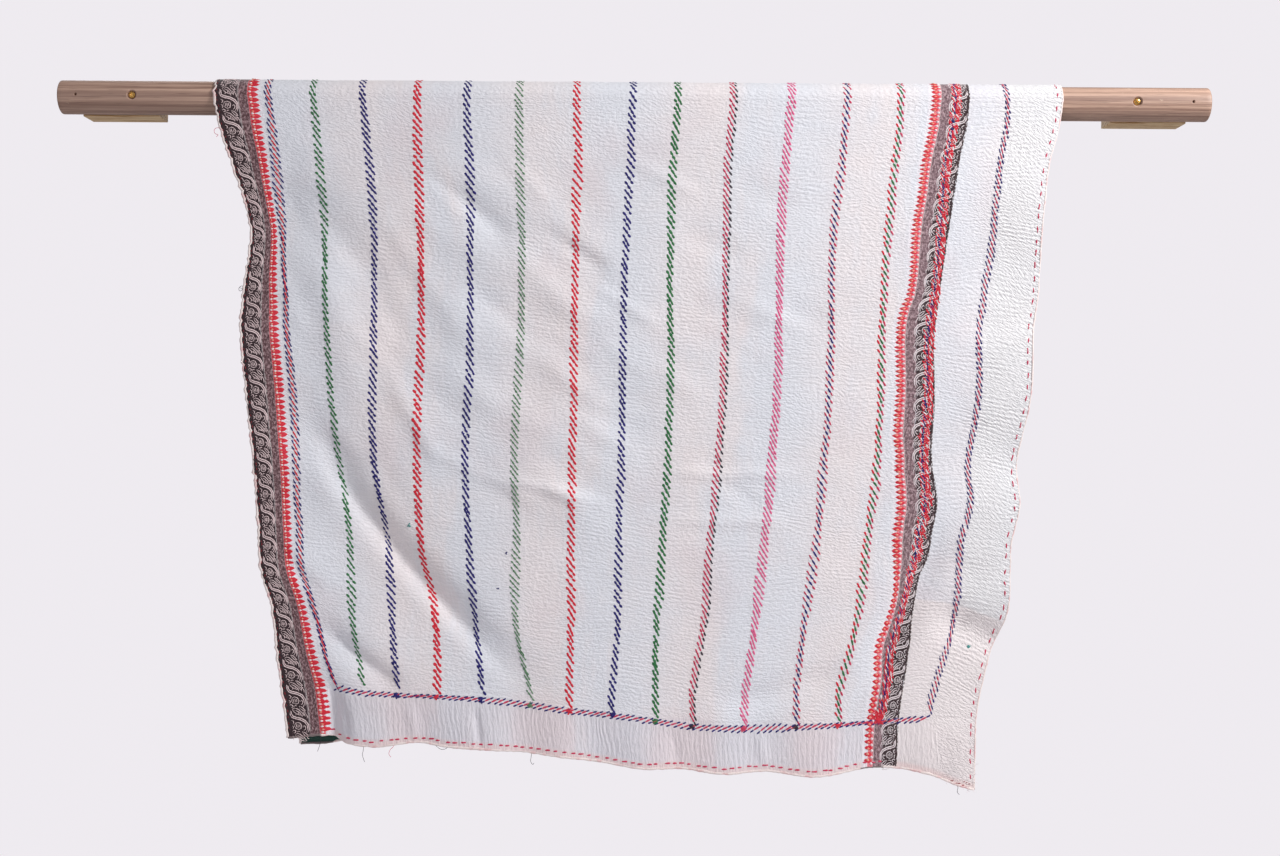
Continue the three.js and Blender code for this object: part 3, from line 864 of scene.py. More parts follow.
def reverse_sheet():
    """One sheet from the front hem over the rail to the back hem."""
    columns = np.linspace(0, 1, COLUMNS + 1)
    share = np.linspace(0, 1, REVERSE_ROWS + 1)[:, None]
    down = hem_at(columns, 1) * (1 - share) + hem_at(columns, -1) * share
    across = np.broadcast_to(columns, down.shape)
    point, normal = hang_with_normal(across, down)
    point = point - normal * (CLOTH_THICK / 2)
    faces = grid_faces(REVERSE_ROWS + 1, COLUMNS + 1)
    piece = make_piece("quilt_reverse", point, faces, COTTON_REVERSE)
    add_map(piece, "cloth", across * FLAT_WIDTH, -down * MM)
    return piece


quilt_reverse = reverse_sheet()
print("reverse faces inward:", quilt_reverse.data.polygons[70].normal.y > 0)

# %% [markdown]
# ## Threads on the cloth
#
# Every coloured stitch is a short length of thick cotton that comes up, lies on the face and goes down again.
# A stitch is a low ridge: three points wide, five long, sunk at both ends. One function lays any number of
# them along paths given on the cloth, and joins them into a single mesh. Adding each stitch as an object of
# its own would make many thousands of objects, which Blender handles slowly.

# %% Finish: cotton thread
def thread_finish(name, colour, worn):
    """Twisted cotton thread in one dye, each stitch a little lighter or darker than the next."""
    finish, tree, shader = new_finish(name, Roughness=0.66, Sheen_Weight=0.08, Sheen_Roughness=0.4)
    island = Tone(tree.nodes.new("ShaderNodeNewGeometry").outputs["Random Per Island"])
    along, around, _ = parts(tree, flat_map(tree, "thread"))
    twist = (along + around * 0.0012).wave(0.0011)
    tone = paint(tree, dye(*colour), dye(*worn), island.rise(0.35, 1.0) * 0.5)
    tone = shaded(tree, tone, twist * 0.22 + 0.86)
    join(shader.inputs["Base Color"], tone)
    raise_by(tree, shader, twist, 0.00022)
    return finish


# %% Laying threads along paths on the cloth
THREAD_EDGE_SINK = 0.25      # how far a thread's two edges lie under its middle's foot


def lay_threads(name, paths, half, rise, finish, blunt=0.35, lift=0.05, sunk=0.25, taper=0.5):
    """Ridges along paths on the cloth: an array of (path, step, (across, down)), joined as one piece.

    half and rise are a thread's half width and height, blunt is the share of its width left at the ends,
    lift is how high its foot lies, sunk is how far its ends go down, and taper is how fast it narrows.
    """
    paths = np.asarray(paths, float)
    count, steps = paths.shape[:2]
    point, normal = hang_with_normal(paths[..., 0], paths[..., 1])
    side = unit(np.cross(normal, np.gradient(point, axis=1)))
    half, rise = (np.broadcast_to(np.asarray(value, float), count)[:, None, None] for value in (half, rise))
    part = np.linspace(0, 1, steps)[None, :, None]
    arch = np.maximum(np.sin(np.pi * part), 0) ** taper
    width = blunt + (1 - blunt) * arch
    rough = PUCKER_HEIGHT * pucker(paths[..., 0], paths[..., 1])[..., None]
    base = point + normal * (CLOTH_THICK / 2 + lift - sunk * (1 - arch) + rough)
    rows = np.stack([
        base - side * half * width - normal * THREAD_EDGE_SINK,
        base + normal * rise * (0.35 + 0.65 * arch),
        base + side * half * width - normal * THREAD_EDGE_SINK,
    ], 2)
    corner = np.arange(count * steps * 3).reshape(count, steps, 3)
    ring = [corner[:, :-1, :-1], corner[:, :-1, 1:], corner[:, 1:, 1:], corner[:, 1:, :-1]]
    faces = np.stack(ring, -1).reshape(-1, 4).tolist()
    piece = make_piece(name, rows, faces, finish)
    length = np.linalg.norm(np.diff(point, axis=1), axis=-1).cumsum(1)
    length = np.concatenate([np.zeros((count, 1)), length], 1)[..., None] + np.zeros(3)
    add_map(piece, "thread", length * MM, np.broadcast_to([0.0, 0.5, 1.0], length.shape))


def straight(start, end, steps=5):
    """Paths from starts to ends, each an array of (across, down)."""
    part = np.linspace(0, 1, steps)[None, :, None]
    return np.asarray(start)[:, None, :] * (1 - part) + np.asarray(end)[:, None, :] * part


# %% [markdown]
# ## The coloured lines
#
# Each line is three columns of running stitches, and one is four. The stitches lean, and every column starts
# a little lower than the one before, so they read as one slanting stroke, repeated down the line like a
# twisted cord. Some lines are sewn with a bolder thread than others. Sewn by hand, no stitch has quite the
# length or place of the next, so each gets its own small random share.

# %% The colours of thread
# each as it was dyed, and as it is where it has worn
THREADS = {
    "navy": ((18, 10, 104), (38, 28, 128)),
    "red": ((216, 26, 50), (226, 56, 76)),
    "green": ((32, 108, 56), (62, 134, 82)),
    "pale_green": ((84, 130, 92), (124, 160, 128)),
    "pink": ((230, 96, 146), (236, 142, 178)),
    "rose": ((204, 46, 86), (218, 92, 122)),
    "black": ((40, 32, 46), (70, 60, 72)),
    "dark_red": ((140, 30, 42), (176, 60, 64)),
    "salmon": ((238, 150, 128), (240, 178, 160)),
    "teal": ((64, 150, 146), (98, 172, 166)),
    "cream": ((206, 196, 194), (168, 156, 156)),
    "dusky": ((96, 82, 78), (132, 116, 110)),
    "white": ((244, 234, 236), (230, 214, 218)),
    "worn_white": ((244, 222, 222), (218, 192, 194)),
}
THREAD_FINISHES = {name: thread_finish(f"{name}_thread", *dyes) for name, dyes in THREADS.items()}
print("thread colours:", len(THREAD_FINISHES))

# %% Where the lines run, and the colours of their columns
LINE_HEIGHTS = (0, 103, 229, 378, 526, 660, 777, 881)
GUIDE_STEP, GUIDE_LENGTH = 12.0, 1020.0


def line(*places):
    """The guide of one line, from its x in millimetres at each of LINE_HEIGHTS on the front."""
    down = np.arange(0.0, GUIDE_LENGTH + 1, GUIDE_STEP)
    left, right = read(FRONT_SECTIONS, 1, down), read(FRONT_SECTIONS, 2, down)
    x = read(np.stack([LINE_HEIGHTS, places], -1), 1, down)
    return np.stack([down, (x - left) / (right - left)], -1)


# a line: the colours along a stroke, the way from stroke to stroke, how far a stroke runs across and down,
# half its thread's width, and where the line runs
STITCH_LINES = {
    "line_01": (("navy", "red", "navy"), 9.4, 10.6, 22, 1.35, LEFT_LINE),
    "line_02": (("green",) * 3, 10.8, 9.2, 17, 1.7, line(-477, -466, -458, -452, -438, -418, -413, -396)),
    "line_03": (("navy",) * 3, 10.6, 10.0, 17, 1.95, line(-404, -392, -384, -384, -385, -363, -354, -346)),
    "line_04": (("red",) * 3, 10.6, 10.6, 17, 2.3, line(-322, -320, -315, -315, -319, -313, -291, -286)),
    "line_05": (("navy",) * 3, 11.6, 10.2, 19, 2.15, line(-248, -244, -242, -241, -247, -242, -231, -221)),
    "line_06": (("pale_green",) * 4, 9.5, 11.0, 16, 1.3,
                line(-171, -169, -166, -167, -174, -171, -170, -149)),
    "line_07": (("red",) * 3, 11.0, 10.8, 17, 2.3, line(-86, -83, -86, -87, -88, -90, -89, -91)),
    "line_08": (("navy",) * 3, 11.2, 9.8, 16, 2.15, line(-2, -6, -11, -15, -16, -19, -20, -27)),
    "line_09": (("green",) * 3, 11.0, 10.2, 18, 2.1, line(65, 58, 55, 56, 54, 46, 38, 37)),
    "line_10": (("rose", "rose", "black"), 9.6, 11.0, 19.5, 1.65,
                line(147, 140, 138, 136, 129, 117, 108, 92)),
    "line_11": (("pink",) * 3, 9.0, 12.0, 20.5, 1.65, line(233, 224, 217, 216, 209, 196, 185, 169)),
    "line_12": (("rose", "navy", "rose"), 10.6, 11.4, 19, 1.5, line(317, 307, 295, 294, 285, 273, 257, 246)),
    "line_13": (("red", "green", "rose"), 11.2, 11.6, 21, 1.75, line(396, 387, 375, 369, 364, 349, 335, 308)),
    "line_14": (("navy", "rose", "navy"), 9.2, 9.8, 21, 1.2, RIGHT_LINE),
}
print("lines:", len(STITCH_LINES))

# %% Sewing the lines
STITCH_HALF, STITCH_RISE = 1.5, 1.1
STITCH_OVERLAP = 0.012       # by this share of a stroke, each of its stitches runs under the next
LINE_GAP_BACK, LINE_GAP_FRONT = 12, 8      # from a line's end to the line along the hem
sewn = {}


def sew(colour, paths, half=STITCH_HALF):
    """Keep stitches for later, so that all of one colour become one piece."""
    sewn.setdefault(colour, []).append((paths, np.full(len(paths), half)))


def stroke_parts(count, parts_in, pick):
    """Where each stitch of a stroke starts and ends, from -0.5 to 0.5: the middle one is the longest."""
    even = np.linspace(-0.5, 0.5, parts_in + 1)[:, None]
    cuts = np.sign(even) * np.abs(even) ** 0.8 * 0.5 ** 0.2 + pick.normal(0, 0.02, (parts_in + 1, count))
    return cuts[:-1] - STITCH_OVERLAP, cuts[1:] + STITCH_OVERLAP


def sew_line(rows, colours, pitch, run, fall, half, seed):
    """Slanting strokes from the back's hem line over the rail to the front's, a stitch for each colour."""
    pick = np.random.default_rng(seed)
    place = rows[-1, 1]
    at = np.arange(hem_line_at(place, -1) + LINE_GAP_BACK, hem_line_at(place, 1) - LINE_GAP_FRONT, pitch)
    at = at + pick.normal(0, 0.07 * pitch, at.shape)
    fall = fall * pick.uniform(0.88, 1.1, at.shape)
    run = run * pick.uniform(0.88, 1.1, at.shape)
    shift = pick.normal(0, 0.35, at.shape) + 0.7 * drift(0, at, 130, seed) + 0.35 * drift(0, at, 40, seed + 1)
    for colour, first, last in zip(colours, *stroke_parts(len(at), len(colours), pick)):
        ends = [
            np.stack([guide(rows, at) + (shift + share * run) / hang_width(at), at + share * fall], -1)
            for share in (first, last)
        ]
        sew(colour, straight(*ends), half * pick.uniform(0.88, 1.1))


# each line has random numbers of its own, so that a change to one moves no stitch of the others
for number, (colours, pitch, run, fall, half, rows) in enumerate(STITCH_LINES.values()):
    sew_line(rows, colours, pitch, run, fall, half, 200 + 2 * number)
print("stitches in the lines:", sum(len(paths) for stitches in sewn.values() for paths, _ in stitches))

# %% [markdown]
# The line along the hem crosses all of them and ends at the first and the last. Its strokes lie flatter and
# lean the other way, each navy at both ends and rose in the middle.

# %% The line along each hem
HEM_STROKE = (("navy", -0.5, -0.2), ("rose", -0.2, 0.22), ("navy", 0.22, 0.5))
HEM_STROKE_RUN, HEM_STROKE_RISE, HEM_PITCH = 20.0, 11.5, 9.4
LOW_WIDTH = 1018             # about the cloth's width along this line, in millimetres

pick = np.random.default_rng(7)
for side in (1, -1):
    first, last = HEM_LINE_ENDS
    at = np.arange(first + 0.004, last - 0.004, HEM_PITCH / LOW_WIDTH)
    at = at + pick.normal(0, 0.5, at.shape) / LOW_WIDTH
    down = hem_line_at(at, side) + pick.normal(0, 0.4, at.shape)
    run = HEM_STROKE_RUN * pick.uniform(0.85, 1.08, at.shape) / LOW_WIDTH
    rise = HEM_STROKE_RISE * pick.uniform(0.85, 1.1, at.shape) * (0.8 + 0.25 * drift(at, 0, 300, 77))
    slope = np.gradient(hem_line_at(at, side), at)
    for colour, low, high in HEM_STROKE:
        ends = [np.stack([at + share * run, down - side * share * rise + share * run * slope], -1)
                for share in (low, high)]
        sew(colour, straight(*ends))
    print("strokes along a hem:", len(at))

# %% [markdown]
# Where a line meets the hem's line, its thread ends in a little knot of crossed stitches. Along the hems and
# down the right edge runs one row of pinkish-red dashes, which holds the turned-in edge. A darn on the right
# border, a few stray specks of thread and a mended corner are sewn with the same helpers.

# %% Knots, a darn and stray specks
KNOTS = {"line_03": "navy", "line_04": "red", "line_05": "navy", "line_06": "pale_green", "line_07": "red",
         "line_08": "navy", "line_09": "green", "line_10": "black", "line_11": "rose", "line_12": "black",
         "line_13": "red"}
KNOT_ROW = 76                # the row of a line's guide that lies next to the hem's line, 912 mm down


def knot(across, down, pick, reach=3.8, count=13):
    """A few stitches crossed over one spot."""
    turn = pick.uniform(-0.9, 0.9, count) + np.pi / 2 * (np.arange(count) % 2)
    shift = pick.normal(0, 1.1, (2, count))
    run = np.stack([np.cos(turn) / LOW_WIDTH, np.sin(turn)], -1) * reach * pick.uniform(0.7, 1.1, (count, 1))
    spot = np.stack([across + shift[0] / LOW_WIDTH, down + shift[1]], -1)
    return straight(spot - run, spot + run)


for side in (1, -1):
    for name, colour in KNOTS.items():
        place = STITCH_LINES[name][-1][KNOT_ROW, 1]
        sew(colour, knot(place, hem_line_at(place, side), pick))

# the border's red darn, where the hem's line crosses it
for spot, height in ((0.8545, 914), (0.8585, 910), (0.8620, 915), (0.8575, 921), (0.8610, 923)):
    sew("red", knot(spot, height, pick, reach=4.4))
# stray specks of teal and blue
for colour, spot, height, reach, count in (
    ("teal", 0.200, 637, 1.5, 5), ("teal", 0.966, 812, 1.8, 5), ("teal", 0.876, 30, 1.5, 5),
    ("navy", 0.329, 676, 1.2, 3), ("navy", 0.311, 730, 1.2, 3),
):
    sew(colour, knot(spot, height, pick, reach, count), 1.0)
print("knots on each fall:", len(KNOTS))


# %% Dashes along the edges
DASH_WIDTH = 1040            # the cloth's width that a hem's dashes are spaced by, in millimetres
DASH_GAP = 8                 # from a hem to the first dash of an edge
MIDDLE_WIDTH = 1200          # and the width by which an edge's dashes sway


def dashes_down(from_edge_mm, edge, pitch, long, pick):
    """Running stitches down one edge, from hem to hem."""
    at = np.arange(hem_at(edge, -1) + DASH_GAP, hem_at(edge, 1) - DASH_GAP, pitch)
    at = at + pick.normal(0, pitch * 0.12, at.shape)
    inward = (1 - 2 * edge) * (from_edge_mm + pick.normal(0, 0.5, at.shape))
    across = edge + inward / hang_width(at)
    reach = long / 2 * pick.uniform(0.75, 1.15, at.shape)
    sway = pick.normal(0, 0.5, at.shape) / MIDDLE_WIDTH
    return straight(np.stack([across - sway, at - reach], -1), np.stack([across + sway, at + reach], -1))


def dashes_along(side, above, pitch, long, first, last, pick):
    """Running stitches along one hem."""
    at = np.arange(first, last, pitch / DASH_WIDTH)
    at = at + pick.normal(0, pitch * 0.12, at.shape) / DASH_WIDTH
    down = hem_at(at, side) - side * (above + pick.normal(0, 0.6, at.shape))
    reach = long / 2 * pick.uniform(0.75, 1.2, at.shape) / DASH_WIDTH
    return straight(np.stack([at - reach, down], -1), np.stack([at + reach, down], -1))


sew("rose", dashes_down(7, 1, 18, 8.4, pick), 1.2)
for side in (1, -1):
    sew("rose", dashes_along(side, 7, 12.6, 7.2, 0.065, 0.875, pick))
# the lower right corner was mended with dark red, close along the edge
sew("dark_red", dashes_along(1, 1.6, 6.0, 5.4, 0.966, 0.984, pick), 0.8)
sew("dark_red", dashes_along(1, 7, 4.0, 3.0, 0.984, 0.995, pick), 0.7)
print("colours sewn so far:", sorted(sewn))

# %% [markdown]
# ## The borders
#
# The old sari border carries a traditional trailing stem: a doubled line swings across the band, curls over a
# ringed flower and ends in a leaf, again and again. One repeat is drawn below, in millimetres, as
# strokes of white thread, and the rest are copies. Real thread stands up and catches the light, which paint
# on the sheet would not. Beside the heathered band runs a row of small red petals with pale grains between
# them.

# %% The trailing stem, one repeat
SCROLL_REPEAT = 34.0
SCROLL_STROKES = (
    ((1.4, 0.0), (0.9, 5.0), (3.3, 9.6), (9.6, 11.0), (15.6, 13.0), (20.0, 17.6), (20.6, 23.4), (18.2, 28.2)),
    ((3.2, 0.8), (2.9, 4.6), (4.8, 7.6), (10.4, 8.9), (17.0, 11.1), (21.8, 16.4), (22.4, 23.6), (20.4, 29.4)),
    ((4.6, 20.0), (5.9, 16.6), (9.2, 15.3), (12.5, 16.6), (13.8, 20.0), (12.5, 23.4), (9.2, 24.7),
     (5.9, 23.4), (4.6, 20.0)),
    ((7.0, 17.8), (6.8, 20.0), (7.2, 22.4)),
    ((9.0, 17.2), (8.9, 20.0), (9.2, 22.8)),
    ((11.2, 17.8), (11.1, 20.0), (11.3, 22.4)),
    ((4.2, 31.6), (8.2, 30.2), (13.2, 33.2), (18.0, 40.0), (12.2, 39.2), (6.8, 36.4), (4.2, 31.6)),
    ((6.8, 33.0), (10.6, 34.6), (14.6, 37.8)),
    ((13.0, 27.6), (16.6, 28.8), (20.8, 34.2), (16.4, 32.8), (13.0, 27.6)),
    ((1.4, 27.4), (3.4, 25.6), (5.4, 27.2), (4.6, 29.2), (2.8, 29.0)),
    ((15.2, 21.8), (16.9, 19.8), (18.4, 21.6), (17.6, 24.2), (15.4, 25.8)),
    ((1.6, 12.6), (4.2, 14.6), (2.6, 18.0)),
    ((1.4, 19.6), (3.2, 21.6), (1.8, 24.4)),
    ((12.4, 3.4), (14.8, 5.0), (15.4, 8.0)),
    ((16.4, 1.2), (18.6, 3.8), (18.8, 7.4)),
    ((20.0, 3.0), (21.8, 6.4), (21.6, 10.2)),
    ((6.4, 1.4), (8.4, 3.4), (7.6, 6.0)),
    ((9.8, 0.2), (11.6, 1.8), (10.8, 4.6)),
    ((21.4, 37.2), (19.4, 36.2), (19.0, 34.4)),
    ((10.4, 27.4), (8.4, 27.0), (7.0, 28.6)),
    ((1.0, 33.4), (2.2, 36.0), (1.2, 38.8)),
)
# the first two strokes are the stem's and bold; then half the width of a bold and of a fine one
STEM_STROKES, STEM_HALF, FINE_HALF = 2, 0.85, 0.56
print("strokes in a repeat:", len(SCROLL_STROKES))

# %% Copies of the stem down both borders
STROKE_STEPS = 9
LEFT_SCROLL_SCALE, RIGHT_SCROLL_SCALE, RIGHT_SCROLL_SPREAD = 1.13, 1.09, 1.15
RIGHT_SCROLL_AT = 0.87       # about how far across it runs, to find its hems by
SCROLL_GAP = 2               # from a hem


def smooth_stroke(points, steps):
    """A soft curve through the points of a stroke."""
    points = np.asarray(points, float)
    table = np.column_stack([np.arange(len(points)), points])
    at = np.linspace(0, len(points) - 1, steps)
    return np.stack([read(table, 1, at), read(table, 2, at)], -1)


def scroll_paths(place, start, end, scale):
    """Copies of the repeat down the cloth. place turns millimetres from the band's start into across."""
    steps, repeat = STROKE_STEPS, SCROLL_REPEAT * scale
    shapes = np.stack([smooth_stroke(stroke, steps) for stroke in SCROLL_STROKES]) * scale
    starts = np.arange(end - repeat * math.floor((end - start) / repeat), end - repeat / 2, repeat)
    offset, along = shapes[None, ..., 0], starts[:, None, None] + shapes[None, ..., 1]
    offset = np.broadcast_to(offset, along.shape)
    hand = 0.35 * drift(offset / 40, along, 17, 71)
    paths = np.stack([place(offset + hand, along + hand), along + 0.5 * hand], -1)
    return paths.reshape(-1, steps, 2)


def stroke_halves(paths):
    """The stem's strokes are bold, and the rest are fine."""
    number = np.arange(len(paths)) % len(SCROLL_STROKES)
    return np.where(number < STEM_STROKES, STEM_HALF, FINE_HALF)


def left_scroll_place(offset, down):
    """Where a point of the stem comes to lie across, on the left."""
    return left_place(SCROLL_LEFT[0] + offset, down)


def right_scroll_place(offset, down):
    """On the right the stem is turned round, and spread a little wider."""
    return right_place(SCROLL_RIGHT[1] - 1 - RIGHT_SCROLL_SPREAD * offset, down)


left_scroll, right_scroll = (
    scroll_paths(place, hem_at(edge, -1) + SCROLL_GAP, hem_at(edge, 1) - SCROLL_GAP, scale)
    for place, edge, scale in (
        (left_scroll_place, 0.0, LEFT_SCROLL_SCALE),
        (right_scroll_place, RIGHT_SCROLL_AT, RIGHT_SCROLL_SCALE),
    )
)
lay_threads("border_scroll_left", left_scroll, 0.95 * stroke_halves(left_scroll), 0.45,
            THREAD_FINISHES["worn_white"], blunt=0.6, lift=0.3)
lay_threads("border_scroll_right", right_scroll, stroke_halves(right_scroll), 0.5,
            THREAD_FINISHES["white"], blunt=0.6, lift=0.3)

# %% A row of petals
# how far from the rail, how far apart the petals are on the left and on the right border
PETAL_PITCHES = np.array([(0, 8.0, 6.7), (400, 8.2, 7.2), (1000, 8.3, 9.3)])
LEFT_BORDER_AT, RIGHT_BORDER_AT = 0.04, 0.85       # about where each border is, to find its hems by


def petal_row(place, first, last, phase, pick):
    """Short strokes straight across a border from hem to hem, and how far apart they are."""
    left = place is left_place
    edge = LEFT_BORDER_AT if left else RIGHT_BORDER_AT
    down = np.linspace(hem_at(edge, -1) + 1, hem_at(edge, 1) - 1, 600)
    pitch = read(PETAL_PITCHES, 1 if left else 2, np.abs(down))
    turns = np.concatenate([[0], np.cumsum(np.diff(down) / pitch[1:])])
    at = np.interp(np.arange(0.4, turns[-1] - 0.4 - phase) + phase, turns, down)
    pitch = np.interp(at, down, pitch)
    at = at + pick.normal(0, 0.05, at.shape) * pitch
    jitter = pick.normal(0, 0.35, at.shape)
    start, end = place(first + jitter, at), place(last + jitter, at)
    tilt = pick.normal(0, 0.25, at.shape)
    return straight(np.stack([start, at - tilt], -1), np.stack([end, at + tilt], -1), 7), pitch


# %% The petals, their eyes, the grains between them and the bands' lines
# each piece: the border, where its strokes start and end, whether they lie between the petals, half their
# breadth as a share of the pitch, their height and their colour
for name, place, first, last, phase, half, rise, colour in (
    ("petals_left", left_place, 46.6, 63.4, 0.0, 0.5, 0.8, "red"),
    ("petal_eyes_left", left_place, 48.6, 53.6, 0.0, 0.2, 2.0, "salmon"),
    ("grains_left", left_place, 47.8, 52.6, 0.5, 0.2, 1.5, "white"),
    ("petals_right", right_place, -2.0, 12.6, 0.0, 0.46, 0.8, "red"),
    ("petal_eyes_right", right_place, 2.0, 8.4, 0.0, 0.26, 1.9, "salmon"),
    ("grains_right", right_place, 9.2, 14.0, 0.5, 0.24, 1.5, "white"),
):
    paths, pitch = petal_row(place, first, last, phase, pick)
    lay_threads(name, paths, half * pitch, rise, THREAD_FINISHES[colour], blunt=0.08, lift=0.12, taper=0.8)


def running_column(place, offset, pitch, long, pick):
    """Running stitches down a border, from hem to hem."""
    edge = LEFT_BORDER_AT if place is left_place else RIGHT_BORDER_AT
    at = np.arange(hem_at(edge, -1) + 5, hem_at(edge, 1) - 5, pitch)
    at = at + pick.normal(0, pitch * 0.08, at.shape)
    across = place(offset + pick.normal(0, 0.3, at.shape), at)
    return straight(np.stack([across, at - long / 2], -1), np.stack([across, at + long / 2], -1))


lay_threads("band_lines", np.concatenate([
    running_column(left_place, 33.2, 6.0, 6.4, pick), running_column(right_place, 14.6, 6.0, 6.4, pick),
]), 0.75, 0.5, THREAD_FINISHES["cream"], blunt=0.8)

# %% [markdown]
# Over the right border's dark band someone has sewn one more slanting line, in red, navy and a little white,
# thick and crowded. The border's outer edge is only lapped over the quilt and caught down with a dusky
# thread.

# %% The crowded line on the right border
# down, how far into the border its middle runs
CROWDED_PLACES = np.array([
    (-20, 37), (100, 38), (200, 45), (300, 49), (400, 48), (500, 45), (600, 41), (700, 36), (800, 29),
    (890, 25),
])
# its columns: the colour, how far from the middle, from stitch to stitch
CROWDED = (
    ("red", -5.4, 6.2), ("navy", -2.0, 6.2), ("red", 0.8, 6.2), ("red", 3.2, 6.2), ("red", 5.6, 6.2),
    ("white", -4.0, 12.0), ("white", 4.4, 12.0),
)
CROWDED_AT = 0.86            # about how far across it runs, to find its hems by
CROWDED_GAP_BACK, CROWDED_GAP_FRONT = 76, 72
# half of what a stitch leans across and runs down
CROWDED_LEAN, CROWDED_REACH = 2.6, 4.0
for colour, offset, pitch in CROWDED:
    start, end = hem_at(CROWDED_AT, -1) + CROWDED_GAP_BACK, hem_at(CROWDED_AT, 1) - CROWDED_GAP_FRONT
    at = np.arange(start, end, pitch)
    at = at + pick.normal(0, 1.3, at.shape)
    middle = read(CROWDED_PLACES, 1, at) + offset + pick.normal(0, 1.0, at.shape)
    lean = CROWDED_LEAN * pick.uniform(0.2, 1.5, at.shape)
    reach = CROWDED_REACH * pick.uniform(0.7, 1.25, at.shape)
    paths = straight(np.stack([right_place(middle - lean, at), at - reach], -1),
                     np.stack([right_place(middle + lean, at), at + reach], -1))
    sew(colour, paths)
    print(f"{colour} column, {offset} mm from the middle: {len(paths)} stitches")

# %% The lapped edge, and one piece for each colour sewn
lay_threads("lapped_edge_stitches", running_column(right_place, SCROLL_RIGHT[1] + 0.4, 5.4, 4.6, pick),
            0.8, 0.7, THREAD_FINISHES["dusky"], blunt=0.6)
for colour, stitches in sewn.items():
    paths, halves = (np.concatenate(each) for each in zip(*stitches))
    dyed = THREAD_FINISHES[colour]
    lay_threads(f"stitches_{colour}", paths, halves, STITCH_RISE, dyed, blunt=0.8, sunk=0.1)

# %% [markdown]
# ## The rolled edges
#
# All round the quilt the layers are turned in and rolled to a narrow, slightly lumpy edge: cream, worn
# pinkish in places, and dark along the hems where the old borders end. A tube follows each edge, a little
# thicker than the cloth, and closes the gap between the face and the reverse.

# %% Finish: the edges
def edge_finish(name, spans=()):
    """Worn cream, dark where the old borders reach it: spans are places along the edge, in metres."""
    finish, tree, shader = new_finish(name, Roughness=0.85, Sheen_Weight=0.15, Sheen_Roughness=0.5)
    plain = flat_map(tree, "edge")
    worn = clouds(tree, stretched(tree, plain, (60, 1, 1)), 1, 3, 0.6)
    threads = clouds(tree, stretched(tree, plain, (900, 3, 1)), 1, 2, 0.6)
    colour = paint(tree, dye(234, 222, 218), dye(222, 184, 184), worn.rise(0.48, 0.66))
    along = parts(tree, plain)[0]
    for start, end in spans:
        colour = paint(tree, colour, dye(84, 66, 68), along.within(start, end, 0.002) * 0.85)
    join(shader.inputs["Base Color"], shaded(tree, colour, threads * 0.4 + 0.8))
    raise_by(tree, shader, threads, 0.0003)
    return finish


SIDE_EDGE = edge_finish("rolled_edge_cotton")
HEM_EDGE = edge_finish("hem_edge_cotton", ((-0.01, 0.05), (0.872, 0.906)))

# %% A rolled edge
EDGE_SIDES = 8


def roll_edge(name, across, down, half_wide, half_thick, seed, finish, sway=0.3):
    """A tube along an edge: wide in the cloth's own plane, thick through it."""
    point, normal = hang_with_normal(across, down)
    along = unit(np.gradient(point, axis=0))
    side = unit(np.cross(normal, along))
    point = point + side * (sway * drift(across, down, 11, seed + 2))[:, None]
    lumps = 1 + 0.10 * drift(across, down, 14, seed) + 0.08 * drift(across, down, 45, seed + 1)
    turn = np.linspace(0, 2 * np.pi, EDGE_SIDES, endpoint=False)
    ring = (
        point[:, None] + side[:, None] * (np.cos(turn)[None, :, None] * half_wide * lumps[:, None, None])
        + normal[:, None] * (np.sin(turn)[None, :, None] * half_thick * lumps[:, None, None])
    )
    piece = make_piece(name, ring, tube_faces(len(point), EDGE_SIDES), finish)
    length = np.concatenate([[0], np.linalg.norm(np.diff(point, axis=0), axis=-1).cumsum()])[:, None]
    around = np.broadcast_to(turn / 6.3, (len(point), EDGE_SIDES))
    add_map(piece, "edge", (length + np.zeros(EDGE_SIDES)) * MM, around)


# %% The four edges, and the stitches that hold the left one
SIDE_ROWS, HEM_ROWS = 520, 360
down_left = np.linspace(hem_at(0.0, -1), hem_at(0.0, 1), SIDE_ROWS)
down_right = np.linspace(hem_at(1.0, -1), hem_at(1.0, 1), SIDE_ROWS)
over_hem = np.linspace(0, 1, HEM_ROWS)
lay_threads("edge_stitches", dashes_down(3.4, 0, 8.8, 4.4, pick), 0.6, 0.7, THREAD_FINISHES["dark_red"],
            blunt=0.6)
roll_edge("edge_left", 0 * down_left, down_left, 2.2, 1.8, 81, SIDE_EDGE, sway=1.1)
roll_edge("edge_right", 0 * down_right + 1, down_right, 1.5, 1.7, 83, SIDE_EDGE)
roll_edge("hem_front", over_hem, hem_at(over_hem, 1), 2.1, 1.8, 85, HEM_EDGE)
roll_edge("hem_back", over_hem, hem_at(over_hem, -1), 2.1, 1.8, 87, HEM_EDGE)

# %% [markdown]
# ## Loose ends
#
# An old quilt sheds a little. Here and there an end of thread has worked free: a few hang below the hem, two
# curl out from the left edge, and the lower right corner is frayed. Each is a thin tube that starts inside
# the cloth, as a curve with a round profile would be, but its points are worked out here like all the others.

